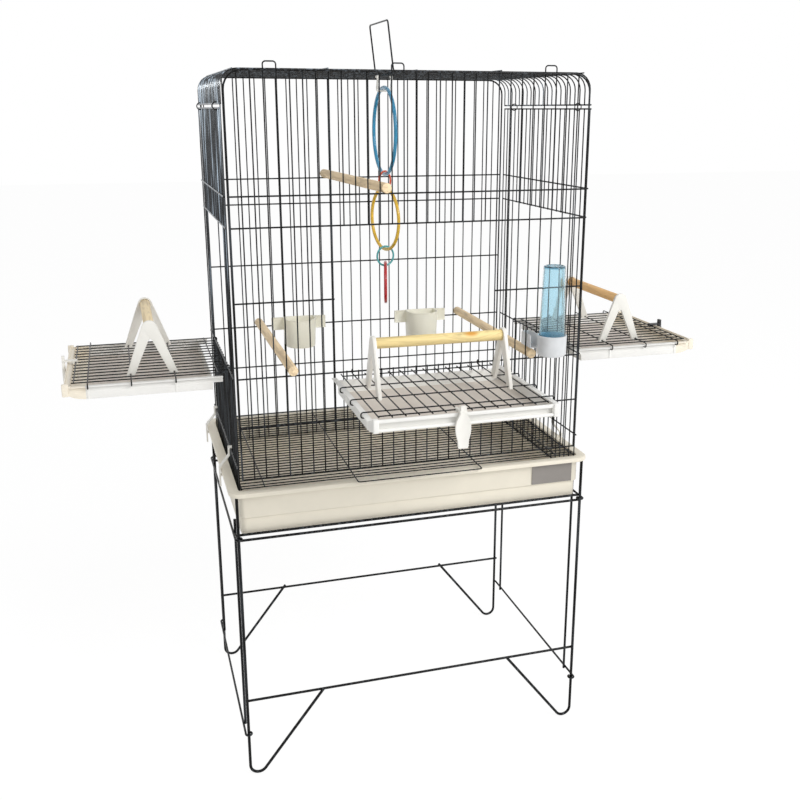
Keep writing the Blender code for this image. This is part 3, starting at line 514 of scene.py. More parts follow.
def tidy_mesh(obj):
    """Joins the points that meet and turns every face outwards."""
    only(obj, "EDIT")
    select_points()
    bpy.ops.mesh.remove_doubles(threshold=1e-5)
    bpy.ops.mesh.normals_make_consistent(inside=False)
    bpy.ops.object.mode_set(mode="OBJECT")
    return obj


def wires(name, thick, runs, corners=8):
    """Round wire along every run: (points, bend, count, step) as draw takes them."""
    obj = blank(name)
    for run in runs:
        draw(*run)
    only(obj)
    bpy.ops.object.convert(target="CURVE")
    obj = bpy.context.active_object
    obj.data.bevel_depth = thick / 2
    obj.data.bevel_resolution = corners // 2 - 2
    obj.data.use_fill_caps = True
    bpy.ops.object.convert(target="MESH")
    return tidy_mesh(bpy.context.active_object)


def joined(obj, *others):
    only(obj)
    for other in others:
        other.select_set(True)
    bpy.ops.object.join()
    return obj


def apply_modifier(obj, kind, **settings):
    only(obj)
    modifier = obj.modifiers.new(kind.lower(), kind)
    for key, value in settings.items():
        setattr(modifier, key, value)
    bpy.ops.object.modifier_apply(modifier=modifier.name)


def soften(obj, width, steps=2, angle=35):
    """Rounds the edges sharper than this angle."""
    apply_modifier(
        obj, "BEVEL", width=width, segments=steps, limit_method="ANGLE",
        angle_limit=math.radians(angle), harden_normals=False,
    )
    return obj


def cut_away(obj, *cutters):
    for cutter in cutters:
        apply_modifier(obj, "BOOLEAN", operation="DIFFERENCE", solver="EXACT", object=cutter)
        bpy.data.objects.remove(cutter)
    return obj


def slab(name, outline, low, high, axes):
    """An outline filled and extruded. axes says which of X, Y and Z the outline's two and the sweep are."""
    def spot(u, v, depth):
        point = [0.0, 0.0, 0.0]
        for axis, value in zip(axes, (u, v, depth)):
            point[axis] = value
        return point

    obj = blank(name)
    draw([spot(u, v, low) for u, v in [*outline, outline[0]]])
    select_points()
    bpy.ops.mesh.remove_doubles(threshold=1e-6)
    bpy.ops.mesh.edge_face_add()
    bpy.ops.mesh.extrude_region_move(TRANSFORM_OT_translate={"value": spot(0, 0, high - low)})
    return tidy_mesh(obj)


def block(name, corner, other):
    """A rectangular block between two opposite corners, for shaping further."""
    (left, right), (near, far), (low, high) = [sorted(pair) for pair in zip(corner, other)]
    return slab(name, [(left, near), (right, near), (right, far), (left, far)], low, high, (0, 1, 2))


def pick_faces(obj, test):
    """Edit mode with only the faces selected that pass the test on their middle and normal."""
    only(obj, "EDIT")
    bpy.ops.mesh.select_mode(type="FACE")
    select_points("DESELECT")
    mesh = bmesh.from_edit_mesh(obj.data)
    found = 0
    for face in mesh.faces:
        chosen = test(face.calc_center_median(), face.normal)
        face.select_set(chosen)
        found += chosen
    mesh.select_flush_mode()
    bmesh.update_edit_mesh(obj.data)
    if not found:
        raise RuntimeError(obj.name + ": no face was found to shape")


def leave_edit():
    bpy.ops.mesh.select_mode(type="VERT")
    bpy.ops.object.mode_set(mode="OBJECT")


def sink_front(obj, border, depth):
    """Sinks the faces that look to the front by this depth, inside a border."""
    pick_faces(obj, lambda at, way: way.y < -0.9)
    bpy.ops.mesh.inset(thickness=border)
    bpy.ops.transform.translate(value=(0, depth, 0))
    leave_edit()
    return obj


def lathe(name, profile, centre, steps=32):
    """A profile of (radius, height) turned round an upright axis."""
    obj = blank(name)
    draw([(centre[0] + radius, centre[1], z) for radius, z in profile])
    select_points()
    bpy.ops.mesh.spin(steps=steps, angle=2 * math.pi, center=(*centre, 0), axis=(0, 0, 1))
    return tidy_mesh(obj)


def turned_in(name, place):
    """Names the new object and builds this place into its mesh."""
    obj = bpy.context.active_object
    obj.name = name
    obj.matrix_world = place
    bpy.ops.object.transform_apply(location=True, rotation=True, scale=True)
    return obj


def dowel(name, start, end, thick, corners=28):
    """A plain rod between two points."""
    deselect()
    start, end = Vector(start), Vector(end)
    bpy.ops.mesh.primitive_cylinder_add(vertices=corners, radius=thick / 2, depth=(end - start).length)
    turn = (end - start).to_track_quat("Z", "Y").to_matrix().to_4x4()
    return turned_in(name, Matrix.Translation((start + end) / 2) @ turn)


def hoop(name, centre, across, thick, turn, steps=56, corners=14):
    """A round ring, its circle upright and turned this many degrees from the Y axis."""
    deselect()
    bpy.ops.mesh.primitive_torus_add(
        major_radius=(across - thick) / 2, minor_radius=thick / 2,
        major_segments=steps, minor_segments=corners,
    )
    upright = Matrix.Rotation(math.radians(90), 4, "Y")
    return turned_in(name, Matrix.Translation(centre) @ Matrix.Rotation(math.radians(-turn), 4, "Z") @ upright)


def door_place(side):
    """Carries a piece made for the front door to its own side."""
    turn, spot = SIDES[side]
    return Matrix.Translation(spot) @ Matrix.Rotation(math.radians(turn), 4, "Z")


def set_down(obj, name, body, node, look="coat", smooth=60, place=Matrix()):
    """Puts a shaped piece at its place, gives it its finish and lets it stand for its node."""
    only(obj)
    obj.name = name
    obj.data.name = name
    obj.matrix_world = Matrix.Translation((0, MID_Y, 0)) @ place
    bpy.ops.object.transform_apply(location=True, rotation=True, scale=True)
    bpy.ops.object.shade_smooth_by_angle(angle=math.radians(smooth))
    if not obj.data.materials:
        obj.data.materials.append(finish(look))
    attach(obj, body)
    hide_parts(node)


def copy_of(obj):
    """A copy with its own mesh."""
    only(obj)
    bpy.ops.object.duplicate(linked=False)
    return bpy.context.active_object


def on_doors(pattern, name, node, body="{}_door", look="fitting", right_look=None, smooth=40):
    """Puts a copy of the pattern on each landing door. {} stands for the door's side in every name."""
    for side in SIDES:
        its_look = right_look if right_look and side == "right" else look.format(side)
        set_down(
            copy_of(pattern), name.format(side), body.format(side), node.format(side),
            its_look, smooth, door_place(side),
        )
    bpy.data.objects.remove(pattern)


# Cage

def shoulder(x):
    """Height of the front's and back's rounded border over a bar at x."""
    over = abs(x) - (FRONT_HALF_X - ARCH_R)
    return FACE_TOP_Z if over <= 0 else FACE_TOP_Z - ARCH_R + math.sqrt(ARCH_R ** 2 - over ** 2)


def face_wires(side, sign):
    """The front (sign -1) or the back of the cage."""
    front = sign < 0
    foot = (FRONT_END_Z if front else PANEL_END_Z) - OVER_BAR
    edge = OPENING_GAPS * PITCH_X
    y, rail_y, span_y = sign * FACE_Y, sign * (FACE_Y + RAIL_OUT), sign * (FACE_Y + SPAN_OUT)
    # Bars that turn over above the front and come down again as the next one
    loops = (3, 13, 26) if front else ()
    runs = []
    for index in range(1, BARS_X):
        x = -FRONT_HALF_X + PITCH_X * index
        low = RAIL_2 - OVER_BAR if front and abs(x) < edge - 0.001 else foot
        if index in loops:
            on = x + PITCH_X
            runs.append(([(x, y, low), (x, y, LOOP_Z), (on, y, LOOP_Z), (on, y, low)], WIRE_BEND))
        elif index - 1 not in loops:
            runs.append(wire_z(x, y, low, shoulder(x) + 0.0010))
    if front:
        runs.append(wire_z(PITCH_X - edge, y, foot, RAIL_4 + OVER_BAR, OPENING_BARS, (PITCH_X, 0, 0)))
    welded = [RAIL_2, RAIL_4, FRONT_END_Z] if front else [RAIL_4, PANEL_END_Z]
    spans = [RAIL_1, RAIL_5] if front else [RAIL_1, RAIL_2, RAIL_3, RAIL_5, BACK_6]
    rails = [wire_x(FRONT_HALF_X, rail_y, z) for z in welded] + [wire_x(FRONT_HALF_X, span_y, z) for z in spans]
    if front:
        inner = edge - OVER_RAIL
        rails += [([(s * FRONT_HALF_X, rail_y, RAIL_3), (s * inner, rail_y, RAIL_3)],) for s in (-1, 1)]
    edge_y = rail_y - sign * 0.0001
    border = mirrored([(-FRONT_HALF_X, edge_y, foot), (-FRONT_HALF_X, edge_y, FACE_TOP_Z)])
    obj = joined(
        wires("bars", size_of("bar"), runs), wires("rails", size_of("rail"), rails, 10),
        wires("border", size_of("edge"), [(border, ARCH_R)], 12),
    )
    set_down(obj, side + "_wirework", "cage", side + "_panel")


def side_wires(side, sign):
    """The left (sign -1) or the right side of the cage, with its door opening."""
    x, out, span = sign * SIDE_X, sign * (SIDE_X + RAIL_OUT), sign * (SIDE_X + SPAN_OUT)
    foot, top = PANEL_END_Z - OVER_BAR, SIDE_TOP_Z + OVER_BAR
    runs = [
        wire_z(x, -SIDE_HALF_Y + PITCH_Y * first, low, high, count, (0, PITCH_Y, 0))
        for first, count, low, high in (
            (1, 3, foot, top), (4, OPENING_BARS, foot, RAIL_4 + OVER_BAR),
            (4, OPENING_BARS, RAIL_2 - OVER_BAR, top), (17, 3, foot, top),
        )
    ]
    end = sign * (SIDE_X + SPAN_OUT - RAIL_OUT)
    runs += [wire_z(end, y, foot, top) for y in (-SIDE_HALF_Y, SIDE_HALF_Y)]
    reach = SIDE_HALF_Y + OVER_RAIL
    rails = [wire_y(out, reach, z) for z in (SIDE_TOP_Z, RAIL_2, RAIL_4, PANEL_END_Z)]
    rails += [wire_y(span, reach, z) for z in (RAIL_1, SIDE_5)]
    rails.append(wire_y(sign * (SIDE_X - RAIL_OUT), reach, SIDE_6))
    obj = joined(wires("bars", size_of("bar"), runs), wires("rails", size_of("rail"), rails, 10))
    set_down(obj, side + "_wirework", "cage", side + "_panel")


def roof_wires():
    """Bows over the roof, the stays along it and the skirt wires they end on."""
    pitch = 2 * TOP_HALF_Y / BARS_Y
    low = SKIRT_Z - OVER_BAR

    def bow(y, lift):
        return mirrored([(-SIDE_X, y, low), (-SIDE_X, y, TOP_Z + lift)])

    runs = [(bow(-TOP_HALF_Y + pitch, 0), ARCH_R, BARS_Y - 1, (0, pitch, 0))]
    runs += [(bow(y, WELD + CLEAR), ARCH_R) for y in (-TOP_HALF_Y, TOP_HALF_Y)]
    up, clear, bend_z = TOP_Z + size_of("bar") - WELD, TOP_Z + size_of("bar") + CLEAR, TOP_Z + 0.0008
    stays = (0, up), (-STAY_X, clear), (STAY_X, clear), (-BEND_STAY_X, bend_z), (BEND_STAY_X, bend_z)
    runs += [wire_y(x, STAY_REACH, z) for x, z in stays]
    skirts = [wire_y(x, TOP_HALF_Y + OVER_RAIL, SKIRT_Z) for x in (-HINGE_X, HINGE_X)]
    obj = joined(wires("roof", size_of("bar"), runs), wires("skirts", size_of("rail"), skirts, 10))
    set_down(obj, "roof_bows_and_stays", "cage", "top_panel")


def roof_rings():
    """Closing rings that tie the roof's skirt wires to the sides."""
    middle = (SKIRT_Z + SIDE_TOP_Z) / 2
    across = (SKIRT_Z - SIDE_TOP_Z) + 0.0073
    for label, sx, sy in (("fl", -1, -1), ("fr", 1, -1), ("bl", -1, 1), ("br", 1, 1)):
        ring = hoop("ring", (sx * HINGE_X, sy * TIE_Y, middle), across, 0.0018, 90, 24, 8)
        set_down(ring, "roof_tie_ring_" + label, "cage", "roof_ring_" + label)


def carry_handle():
    """Handle of bent wire, curled round the middle roof stay at both ends."""
    axis, half, curl, thick, top, bend = TOP_Z + 0.0015, 0.060, 0.0034, 0.0028, 1.2810, 0.0050
    side = [(u, -half, v) for u, v in arc((0, axis), curl, 150, 421, 18)]
    side += [(0.0, -half, axis + 0.0075), (-0.0090, -half, top)]
    path = side + [(x, -y, z) for x, y, z in reversed(side)]
    set_down(wires("handle", thick, [(path, bend)], 10), "carry_handle", "bail", "handle_bail")


# Landing doors

def hinge_curl(x):
    """A long wire of the door whose end curls round the hinge wire."""
    straight = [(x, -DOOR_END, DOOR_Z), (x, -0.0022, DOOR_Z)]
    return straight + [(x, u, -v) for u, v in arc((0, 0), DOOR_Z, 255, 4, -18)]


def door_grilles():
    """The three doors, lying open as landing platforms."""
    def along(x, z):
        return [(x, -DOOR_END, z), (x, -DOOR_ROOT, z)]

    runs = [(along(x, SPAN_Z + DOOR_Z - CROSS_Z),) for x in (-DOOR_HALF, DOOR_HALF)]
    runs.append((along(-DOOR_HALF + 2 * DOOR_PITCH, DOOR_Z), 0, 10, (DOOR_PITCH, 0, 0)))
    runs += [(hinge_curl(x),) for x in (-DOOR_HALF + DOOR_PITCH, DOOR_HALF - DOOR_PITCH)]
    # The middle cross wires turn down past the tray and in under its flanges
    low, toe, bend = SPAN_Z - 0.0083, 0.0078, 0.0036
    for t in CROSS_T:
        if t in (CROSS_T[0], CROSS_T[-1]):
            runs.append(wire_x(DOOR_HALF + OVER_BAR, -t, CROSS_Z))
        else:
            hook = [(toe - HOOK_X, -t, low), (-HOOK_X, -t, low), (-HOOK_X, -t, SPAN_Z)]
            runs.append((mirrored(hook), bend))
    on_doors(wires("door", size_of("door_wire"), runs), "landing_grille_{}", "door_{}", look="coat", smooth=60)


def tray_shell():
    """The hollow tray, its flanges that the door's wires hook under, its ribs and the bar along its nose."""
    half, low, top = TRAY_HALF, TRAY_BOTTOM, TRAY_TOP
    outline = [
        (-TRAY_ROOT, top), (-TRAY_ROOT, low), (-0.228, low), (-0.237, low + 0.0010), (-0.245, low + 0.0031),
        (-0.2515, low + 0.0063), (-0.2535, low + 0.0080), (-TRAY_END, low + 0.0092), (-TRAY_END, top - 0.0034),
        (-0.2588, top - 0.0026), (-0.2588, top + 0.0026), (-0.2572, top + 0.0026), (-0.2556, top),
    ]
    tray = slab("tray", outline, -half, half, (1, 2, 0))
    pick_faces(tray, lambda at, way: way.z > 0.3 and at.z > top - 0.001)
    bpy.ops.mesh.delete(type="FACE")
    leave_edit()
    apply_modifier(tray, "SOLIDIFY", thickness=0.0018, offset=-1, use_even_offset=True)
    soften(tray, 0.0007)
    # The nose has a channel over a round bar, which a post at each end holds
    parts = [wires("bar", 0.0052, [wire_x(half - 0.004, -0.2578, low + 0.0086)], 14)]

    def fit(inner, outer, near, far, ease=0.0005, steps=2):
        """A block between two distances from the tray's middle line and two corners (y, z)."""
        parts.append(soften(block("fit", (inner, *near), (outer, *far)), ease, steps))

    for s in (-1, 1):
        post_low, post_top = (-0.2622, low + 0.0056), (-TRAY_END, top + 0.0036)
        fit(s * (half - 0.0072), s * (half + 0.0012), post_low, post_top, 0.0016, 3)
        # The long walls run on towards the hinge as narrow tongues
        tongue_low, tongue_top = (-TRAY_ROOT - 0.0006, top - 0.0105), (-0.0124, top - 0.0004)
        fit(s * (half - 0.0018), s * (half - 0.0001), tongue_low, tongue_top)
        # Upright ribs where the hooks of the cross wires come down
        for t in (CROSS_T[1], CROSS_T[3]):
            rib_low, rib_top = (-t - 0.0017, low + 0.0004), (-t + 0.0017, top - 0.0012)
            fit(s * (half - 0.0008), s * (half + 0.0013), rib_low, rib_top)
    for s in (-1, 1):
        fit(s * (half - 0.0006), s * FLANGE_HALF, (-0.2480, top - 0.0016), (-FLANGE_ROOT, top - 0.00005))
    tray = joined(tray, *parts)
    # A cut right across, so that the side trays' noses can take a cream colour of painted warm light
    only(tray, "EDIT")
    select_points()
    bpy.ops.mesh.bisect(plane_co=(0, -NOSE_T, 0), plane_no=(0, 1, 0))
    bpy.ops.object.mode_set(mode="OBJECT")
    return tray


def trays():
    """Trays under the three landing doors."""
    pattern = tray_shell()
    for side in SIDES:
        tray = copy_of(pattern)
        for look in ("tray", "tray_floor", "tray_nose"):
            tray.data.materials.append(finish(look))
        for face in tray.data.polygons:
            at, way = face.center, face.normal
            # On the side trays the nose takes painted warm light, a cream tone
            if side != "front" and at.y < -NOSE_T:
                face.material_index = 2
            elif way.z > 0.5 and at.z < TRAY_BOTTOM + 0.006 and at.y > -TRAY_END:
                face.material_index = 1
        set_down(tray, "drop_tray_" + side, side + "_door", "tray_" + side, "tray", 40, door_place(side))
    bpy.data.objects.remove(pattern)


def latch_shape():
    """A turning latch: a clip on the end wire over a bottle-shaped finger tab."""
    wire, c, top = CROSS_T[4], LATCH_X, CROSS_Z + 0.0038
    bridge = block("latch", (c - 0.0056, -LATCH_OUT + 0.0004, top - 0.0024), (c + 0.0056, -wire - 0.0044, top))
    soften(bridge, 0.0006)
    lugs = []
    for s in (-1, 1):
        low, high = (-wire - 0.0050, CROSS_Z - 0.0026), (-wire + 0.0026, top - 0.0002)
        lug = block("lug", (c + s * 0.0017, *low), (c + s * 0.0054, *high))
        low, high = (-wire - 0.0014, CROSS_Z - 0.02), (-wire + 0.0014, CROSS_Z + 0.0014)
        slot = block("slot", (c + s * 0.0007, *low), (c + s * 0.0064, *high))
        lugs.append(soften(cut_away(lug, slot), 0.0004))
    half = [
        (0.0044, 0.0095), (0.0046, 0.0030), (0.0052, -0.0030), (0.0078, -0.0078), (0.0102, -0.0128),
        (0.0116, -0.0192), (0.0118, -0.0262), (0.0109, -0.0335), (0.0094, -0.0392), (0.0083, -0.0425),
        (0.0080, -0.0510), (0.0068, -0.0545),
    ]
    tab = slab("tab", [(c + x, z) for x, z in mirrored(half)], -LATCH_OUT, -LATCH_OUT + 0.0048, (0, 2, 1))
    # The thumb pad is sunk into the outer face
    soften(sink_front(tab, 0.0020, 0.0009), 0.0007)
    return joined(bridge, tab, *lugs)


def dowel_stand_shape(sign):
    """An upright A of plate that snaps over two cross wires and holds the dowel's end."""
    c, low = DOWEL_T, CROSS_Z - 0.0020
    half = [
        (0.0415, low), (0.0200, 0.0560), (0.0122, 0.0765), (0.0108, 0.0800), (0.0082, 0.0832), (0.0044, 0.0855),
    ]
    outer = [(-c - u, v) for u, v in half] + [(-c, 0.0862)] + [(-c + u, v) for u, v in reversed(half)]
    inner = [(-c + 0.0285, low), (-c + 0.0030, 0.0535), (-c, 0.0565), (-c - 0.0030, 0.0535), (-c - 0.0285, low)]
    middle, thick = sign * STAND_X, size_of("frame_plate") / 2
    stand = slab("stand", outer + inner, middle - thick, middle + thick, (1, 2, 0))
    slots = [
        block("slot", (middle - 0.01, -t - 0.0014, -0.02), (middle + 0.01, -t + 0.0014, SPAN_Z + 0.0014))
        for t in (CROSS_T[1], CROSS_T[2])
    ]
    face = middle - sign * thick
    ends = [(face - sign * 0.004, -c, DOWEL_Z), (face + sign * 0.0032, -c, DOWEL_Z)]
    cut_away(stand, *slots, dowel("socket", *ends, size_of("dowel") + 0.0008))
    return soften(stand, 0.0008, 2, 50)


def dowel_stands():
    """Pairs of stands that carry the dowels over the landing doors."""
    for label, sign in (("a", -1), ("b", 1)):
        on_doors(dowel_stand_shape(sign), "dowel_stand_{}_" + label, "perch_stand_{}_" + label)


def landing_dowels():
    """The pine dowel over each landing door."""
    half = STAND_X - 0.0001
    rod = dowel("dowel", (-half, -DOWEL_T, DOWEL_Z), (half, -DOWEL_T, DOWEL_Z), size_of("dowel"))
    on_doors(soften(rod, 0.0010), "landing_dowel_{}", "dowel_{}", look="{}_pine")


# Fittings in the cage

def inner_perches():
    """Perches from front to back, notched over a level wire at both ends."""
    thick, reach, notch = size_of("perch"), FACE_Y + 0.0055, 0.0015
    for name, node, gap, back_gap, rail, rail_out in (
        ("low_perch_left", "perch_low_left", 4, 4, RAIL_4, RAIL_OUT),
        ("low_perch_right", "perch_low_right", 25, 25, RAIL_4, RAIL_OUT),
        ("high_perch", "perch_high", 12, 11, RAIL_1, SPAN_OUT),
    ):
        x, back_x = [-FRONT_HALF_X + PITCH_X * (number + 0.5) for number in (gap, back_gap)]
        z = rail + RAIL_R + CLEAR + thick / 2 - notch
        out, rail_top = FACE_Y + rail_out, rail + 0.00165
        perch = soften(dowel(name, (x, -reach, z), (back_x, reach, z), thick), 0.0011)
        notches = [
            block("notch", (at - 0.02, s * out - 0.0019, z - 0.03), (at + 0.02, s * out + 0.0019, rail_top))
            for s, at in ((-1, x), (1, back_x))
        ]
        set_down(cut_away(perch, *notches), name, "cage", node, "perch", 40)


def cup_outline(reach, back, middle):
    """A half-round outline, open towards the back."""
    bow = arc((0, middle), reach, 190, 360, 10)
    return [(-reach, back), (-reach, middle), *bow, (reach, middle), (reach, back)]


def seed_cup_shape():
    """A half-round cup with a round lip and a wing on each side, made at x = 0."""
    back, middle = CUP_BACK, CUP_BACK - 0.022
    narrower = {"value": (0.93, 0.95, 1), "center_override": (0, back, CUP_BOTTOM)}
    cup = slab("cup", cup_outline(CUP_R, back, middle), CUP_BOTTOM, CUP_TOP, (0, 1, 2))
    pick_faces(cup, lambda at, way: way.z < -0.9)
    bpy.ops.transform.resize(**narrower)
    leave_edit()
    # The rim is inset and the hollow pushed down from it
    pick_faces(cup, lambda at, way: way.z > 0.9)
    bpy.ops.mesh.inset(thickness=CUP_WALL)
    bpy.ops.mesh.extrude_region_move(TRANSFORM_OT_translate={"value": (0, 0, CUP_BOTTOM + CUP_WALL - CUP_TOP)})
    bpy.ops.transform.resize(**narrower)
    leave_edit()
    soften(cup, 0.0007, 2, 50)
    lip = [(x, y, CUP_TOP - 0.0012) for x, y in cup_outline(0.0305, back - 0.0008, middle)]
    parts = [wires("lip", 0.0022, [(lip,)], 10)]
    for s in (-1, 1):
        wing = block("wing", (s * 0.0295, back - 0.0062, WING_LOW), (s * 0.054, back - 0.0002, WING_HIGH))
        parts.append(soften(sink_front(wing, 0.0026, 0.0018), 0.0007))
    return joined(cup, *parts)


def seed_cups():
    """Two seed cups hooked over the back of the cage."""
    pattern = seed_cup_shape()
    over, wire = RAIL_4 + 0.00175, HINGE_Y + RAIL_R
    # An arm over the back's level wire, seen from the side
    hook = [
        (CUP_BACK - 0.001, over), (wire + 0.0006, over), (wire + 0.0006, 0.7195), (wire + 0.0030, 0.7195),
        (wire + 0.0030, over + 0.0022), (wire + 0.0022, over + 0.0030), (CUP_BACK - 0.001, over + 0.0030),
    ]
    for side, x in (("left", -0.1300), ("right", 0.1230)):
        cup = copy_of(pattern)
        cup.location.x = x
        arms = []
        for s in (-1, 1):
            # Each arm goes through the middle of the nearest gap
            gap = round((x + s * 0.040 + FRONT_HALF_X) / PITCH_X - 0.5) + 0.5
            arm_x = -FRONT_HALF_X + PITCH_X * gap
            arms.append(soften(slab("arm", hook, arm_x - 0.0029, arm_x + 0.0029, (1, 2, 0)), 0.0005))
        only(cup)
        bpy.ops.object.transform_apply(location=True, rotation=True, scale=True)
        set_down(joined(cup, *arms), "seed_cup_" + side, side + "_cup", "feeder_cup_" + side, "cup", 40)
    bpy.data.objects.remove(pattern)


def drinker():
    """The drinker: a tapered clear tube standing in a round base with a spout between two bars."""
    place, base = (DRINK_X, DRINK_Y), DRINK_BASE
    cup = lathe("base", [(DRINK_R - inward, base + up) for inward, up in (
        (DRINK_R, 0), (0.0032, 0.0004), (0.0015, 0.0022), (0.0007, 0.0060), (0.0002, 0.0310), (0, 0.0318),
        (0, 0.0354), (0.0006, 0.0360), (0.0018, 0.0360), (0.0023, 0.0352), (0.0029, 0.0080), (0.0045, 0.0062),
        (DRINK_R, 0.0060),
    )], place)
    x, out, tip = SPOUT_X, DRINK_Y + 0.0138, -FACE_Y + 0.0230
    spout = block("spout", (x - 0.0084, out, base + 0.0110), (x + 0.0084, tip, base + 0.0340))
    well = block("well", (x - 0.0066, out - 0.001, base + 0.0130), (x + 0.0066, tip - 0.0016, base + 0.0440))
    bore = dowel("bore", (*place, base - 0.03), (*place, base + 0.07), 2 * (DRINK_R - 0.0015), 32)
    soften(cut_away(spout, well, bore), 0.0006, 2, 50)
    set_down(joined(cup, spout), "drinker_base", "cage", "drinker_cup", "bottle_base", 40)
    top, low, wide = base + DRINK_TALL, base + 0.0085, DRINK_R - 0.0033
    tube = lathe("tube", [(wide - inward, z) for inward, z in (
        (wide, top - 0.0006), (0.0078, top - 0.0006), (0.0068, top), (0.0052, top), (0.0044, top - 0.0006),
        (0.0039, top - 0.0022), (0.0036, top - 0.0110), (0, low + 0.0300), (0.0003, low + 0.0150),
        (0.0004, low), (0.0018, low), (0.0016, low + 0.0150), (0.0014, low + 0.0300), (0.0052, top - 0.0100),
        (0.0056, top - 0.0022), (wide, top - 0.0020),
    )], place, 40)
    set_down(tube, "drinker_bottle", "water_tube", "drinker_tube", "bottle", 40)


def toy():
    """Rings and links hung from a double hook on the middle roof bow."""
    side = [
        (-0.0125, 0.0040, 1.1915), (-0.0125, 0.0040, 1.1991), (-0.0125, -0.0040, 1.1991),
        (-0.0125, -0.0040, 1.1850), (-0.0125, 0.0, 1.1750), (-0.0125, 0.0, TOY_HOOK_Z),
    ]
    hook = wires("hook", TOY_HOOK_THICK, [(mirrored(side), 0.0034)], 12)
    set_down(hook, "toy_double_hook", "hook", "toy_hook", "fitting")
    hang = TOY_HOOK_Z + TOY_HOOK_THICK / 2
    for kind, colour, across, thick, turn in RINGS:
        # Each ring hangs in the one above with a little play
        centre = hang + 0.0004 + thick - across / 2
        ring = hoop("ring", (0, 0, centre), across, thick, turn)
        node, body = "%s_%s" % (kind, colour), "%s_%s" % (colour, kind)
        set_down(ring, "toy_" + node, body, node, colour)
        hang = centre - across / 2 + thick


# Tub, grid and clips

def tub():
    """The moulded tub: rounded outlines bridged from the outer floor over the rim to the inner floor.

    No two outlines share a level, so that each bridges the right way round to the next.
    """
    step, floor = RIM_LOW - TUB_STEP + 0.0020, RIM_LOW - TUB_DEPTH
    low_x, low_y = WALL_X - 0.0025, WALL_Y - 0.0045
    in_x, in_y = WALL_X - TUB_SKIN, WALL_Y - TUB_SKIN
    pan_x, pan_y = low_x - TUB_SKIN, low_y - TUB_SKIN
    # Half the width, half the depth, corner radius and level
    rings = [
        (WALL_X - 0.0080, WALL_Y - 0.0100, 0.008, floor),
        (WALL_X - 0.0045, WALL_Y - 0.0065, 0.0092, floor + 0.0015),
        (low_x, low_y, 0.010, floor + 0.0060), (low_x, low_y, 0.010, step - 0.0025),
        (WALL_X - 0.0004, WALL_Y - 0.0006, 0.0105, step - 0.0006), (WALL_X, WALL_Y, 0.0105, step + 0.0006),
        (WALL_X, WALL_Y, 0.0105, RIM_LOW - 0.0012),
        (WALL_X + 0.0008, WALL_Y + 0.0008, 0.0112, RIM_LOW - 0.0002),
        (RIM_X - 0.001, RIM_Y - 0.001, 0.021, RIM_LOW), (RIM_X, RIM_Y, 0.022, RIM_LOW + 0.0010),
        (RIM_X, RIM_Y, 0.022, RIM_TOP - 0.0026), (RIM_X - 0.0008, RIM_Y - 0.0008, 0.0212, RIM_TOP - 0.0008),
        (RIM_X - 0.0026, RIM_Y - 0.0026, 0.0195, RIM_TOP),
        (WALL_X + 0.0005, WALL_Y + 0.0005, 0.009, RIM_TOP - 0.0002),
        (in_x + 0.0002, in_y + 0.0002, 0.0083, RIM_TOP - 0.0006), (in_x, in_y, 0.008, RIM_TOP - 0.0016),
        (in_x, in_y, 0.008, step + 0.0018),
        (pan_x, pan_y, 0.008, step - 0.0008), (pan_x, pan_y, 0.008, floor + 0.0070),
        (low_x - 0.0030, low_y - 0.0030, 0.0075, floor + 0.0032),
        (WALL_X - 0.0090, WALL_Y - 0.0110, 0.006, floor + 0.0020),
    ]
    obj = blank("tub")
    for half_x, half_y, radius, z in rings:
        select_points("DESELECT")
        bpy.ops.mesh.primitive_plane_add(size=2, location=(0, 0, z))
        bpy.ops.transform.resize(value=(half_x, half_y, 1), center_override=(0, 0, z))
        bpy.ops.mesh.bevel(affect="VERTICES", offset_type="OFFSET", offset=radius, segments=7)
        bpy.ops.object.vertex_group_add()
        bpy.ops.object.vertex_group_assign()
        bpy.ops.mesh.delete(type="ONLY_FACE")

    def pick(*numbers):
        select_points("DESELECT")
        for number in numbers:
            obj.vertex_groups.active_index = number
            bpy.ops.object.vertex_group_select()

    last = len(rings) - 1
    for index in range(last):
        pick(index, index + 1)
        bpy.ops.mesh.bridge_edge_loops()
    for index in (0, last):
        pick(index)
        bpy.ops.mesh.edge_face_add()
    tidy_mesh(obj)
    obj.vertex_groups.clear()
    for look in ("tub", "tub_floor"):
        obj.data.materials.append(finish(look))
    # The floor inside, under the grid, takes the lighter colour of painted light
    for face in obj.data.polygons:
        inside = abs(face.center.x) < WALL_X - 0.0042 and abs(face.center.y) < WALL_Y - 0.0058
        if inside and face.normal.z > 0.3:
            face.material_index = 1
    set_down(obj, "moulded_tub", "cage", "base_tub", "tub", 40)


def bare_plate():
    """A plain plate on the tub's front, with a raised border and nothing on it."""
    right, wide = WALL_X - 0.0140, 0.0775
    low = (right - wide, -WALL_Y - 0.0016, RIM_LOW - 0.0390)
    plate = block("plate", low, (right, -WALL_Y - 0.0004, RIM_LOW - 0.0020))
    soften(sink_front(plate, 0.0022, 0.0005), 0.0003)
    set_down(plate, "tub_plate", "cage", "label_plate", "plate", 40)


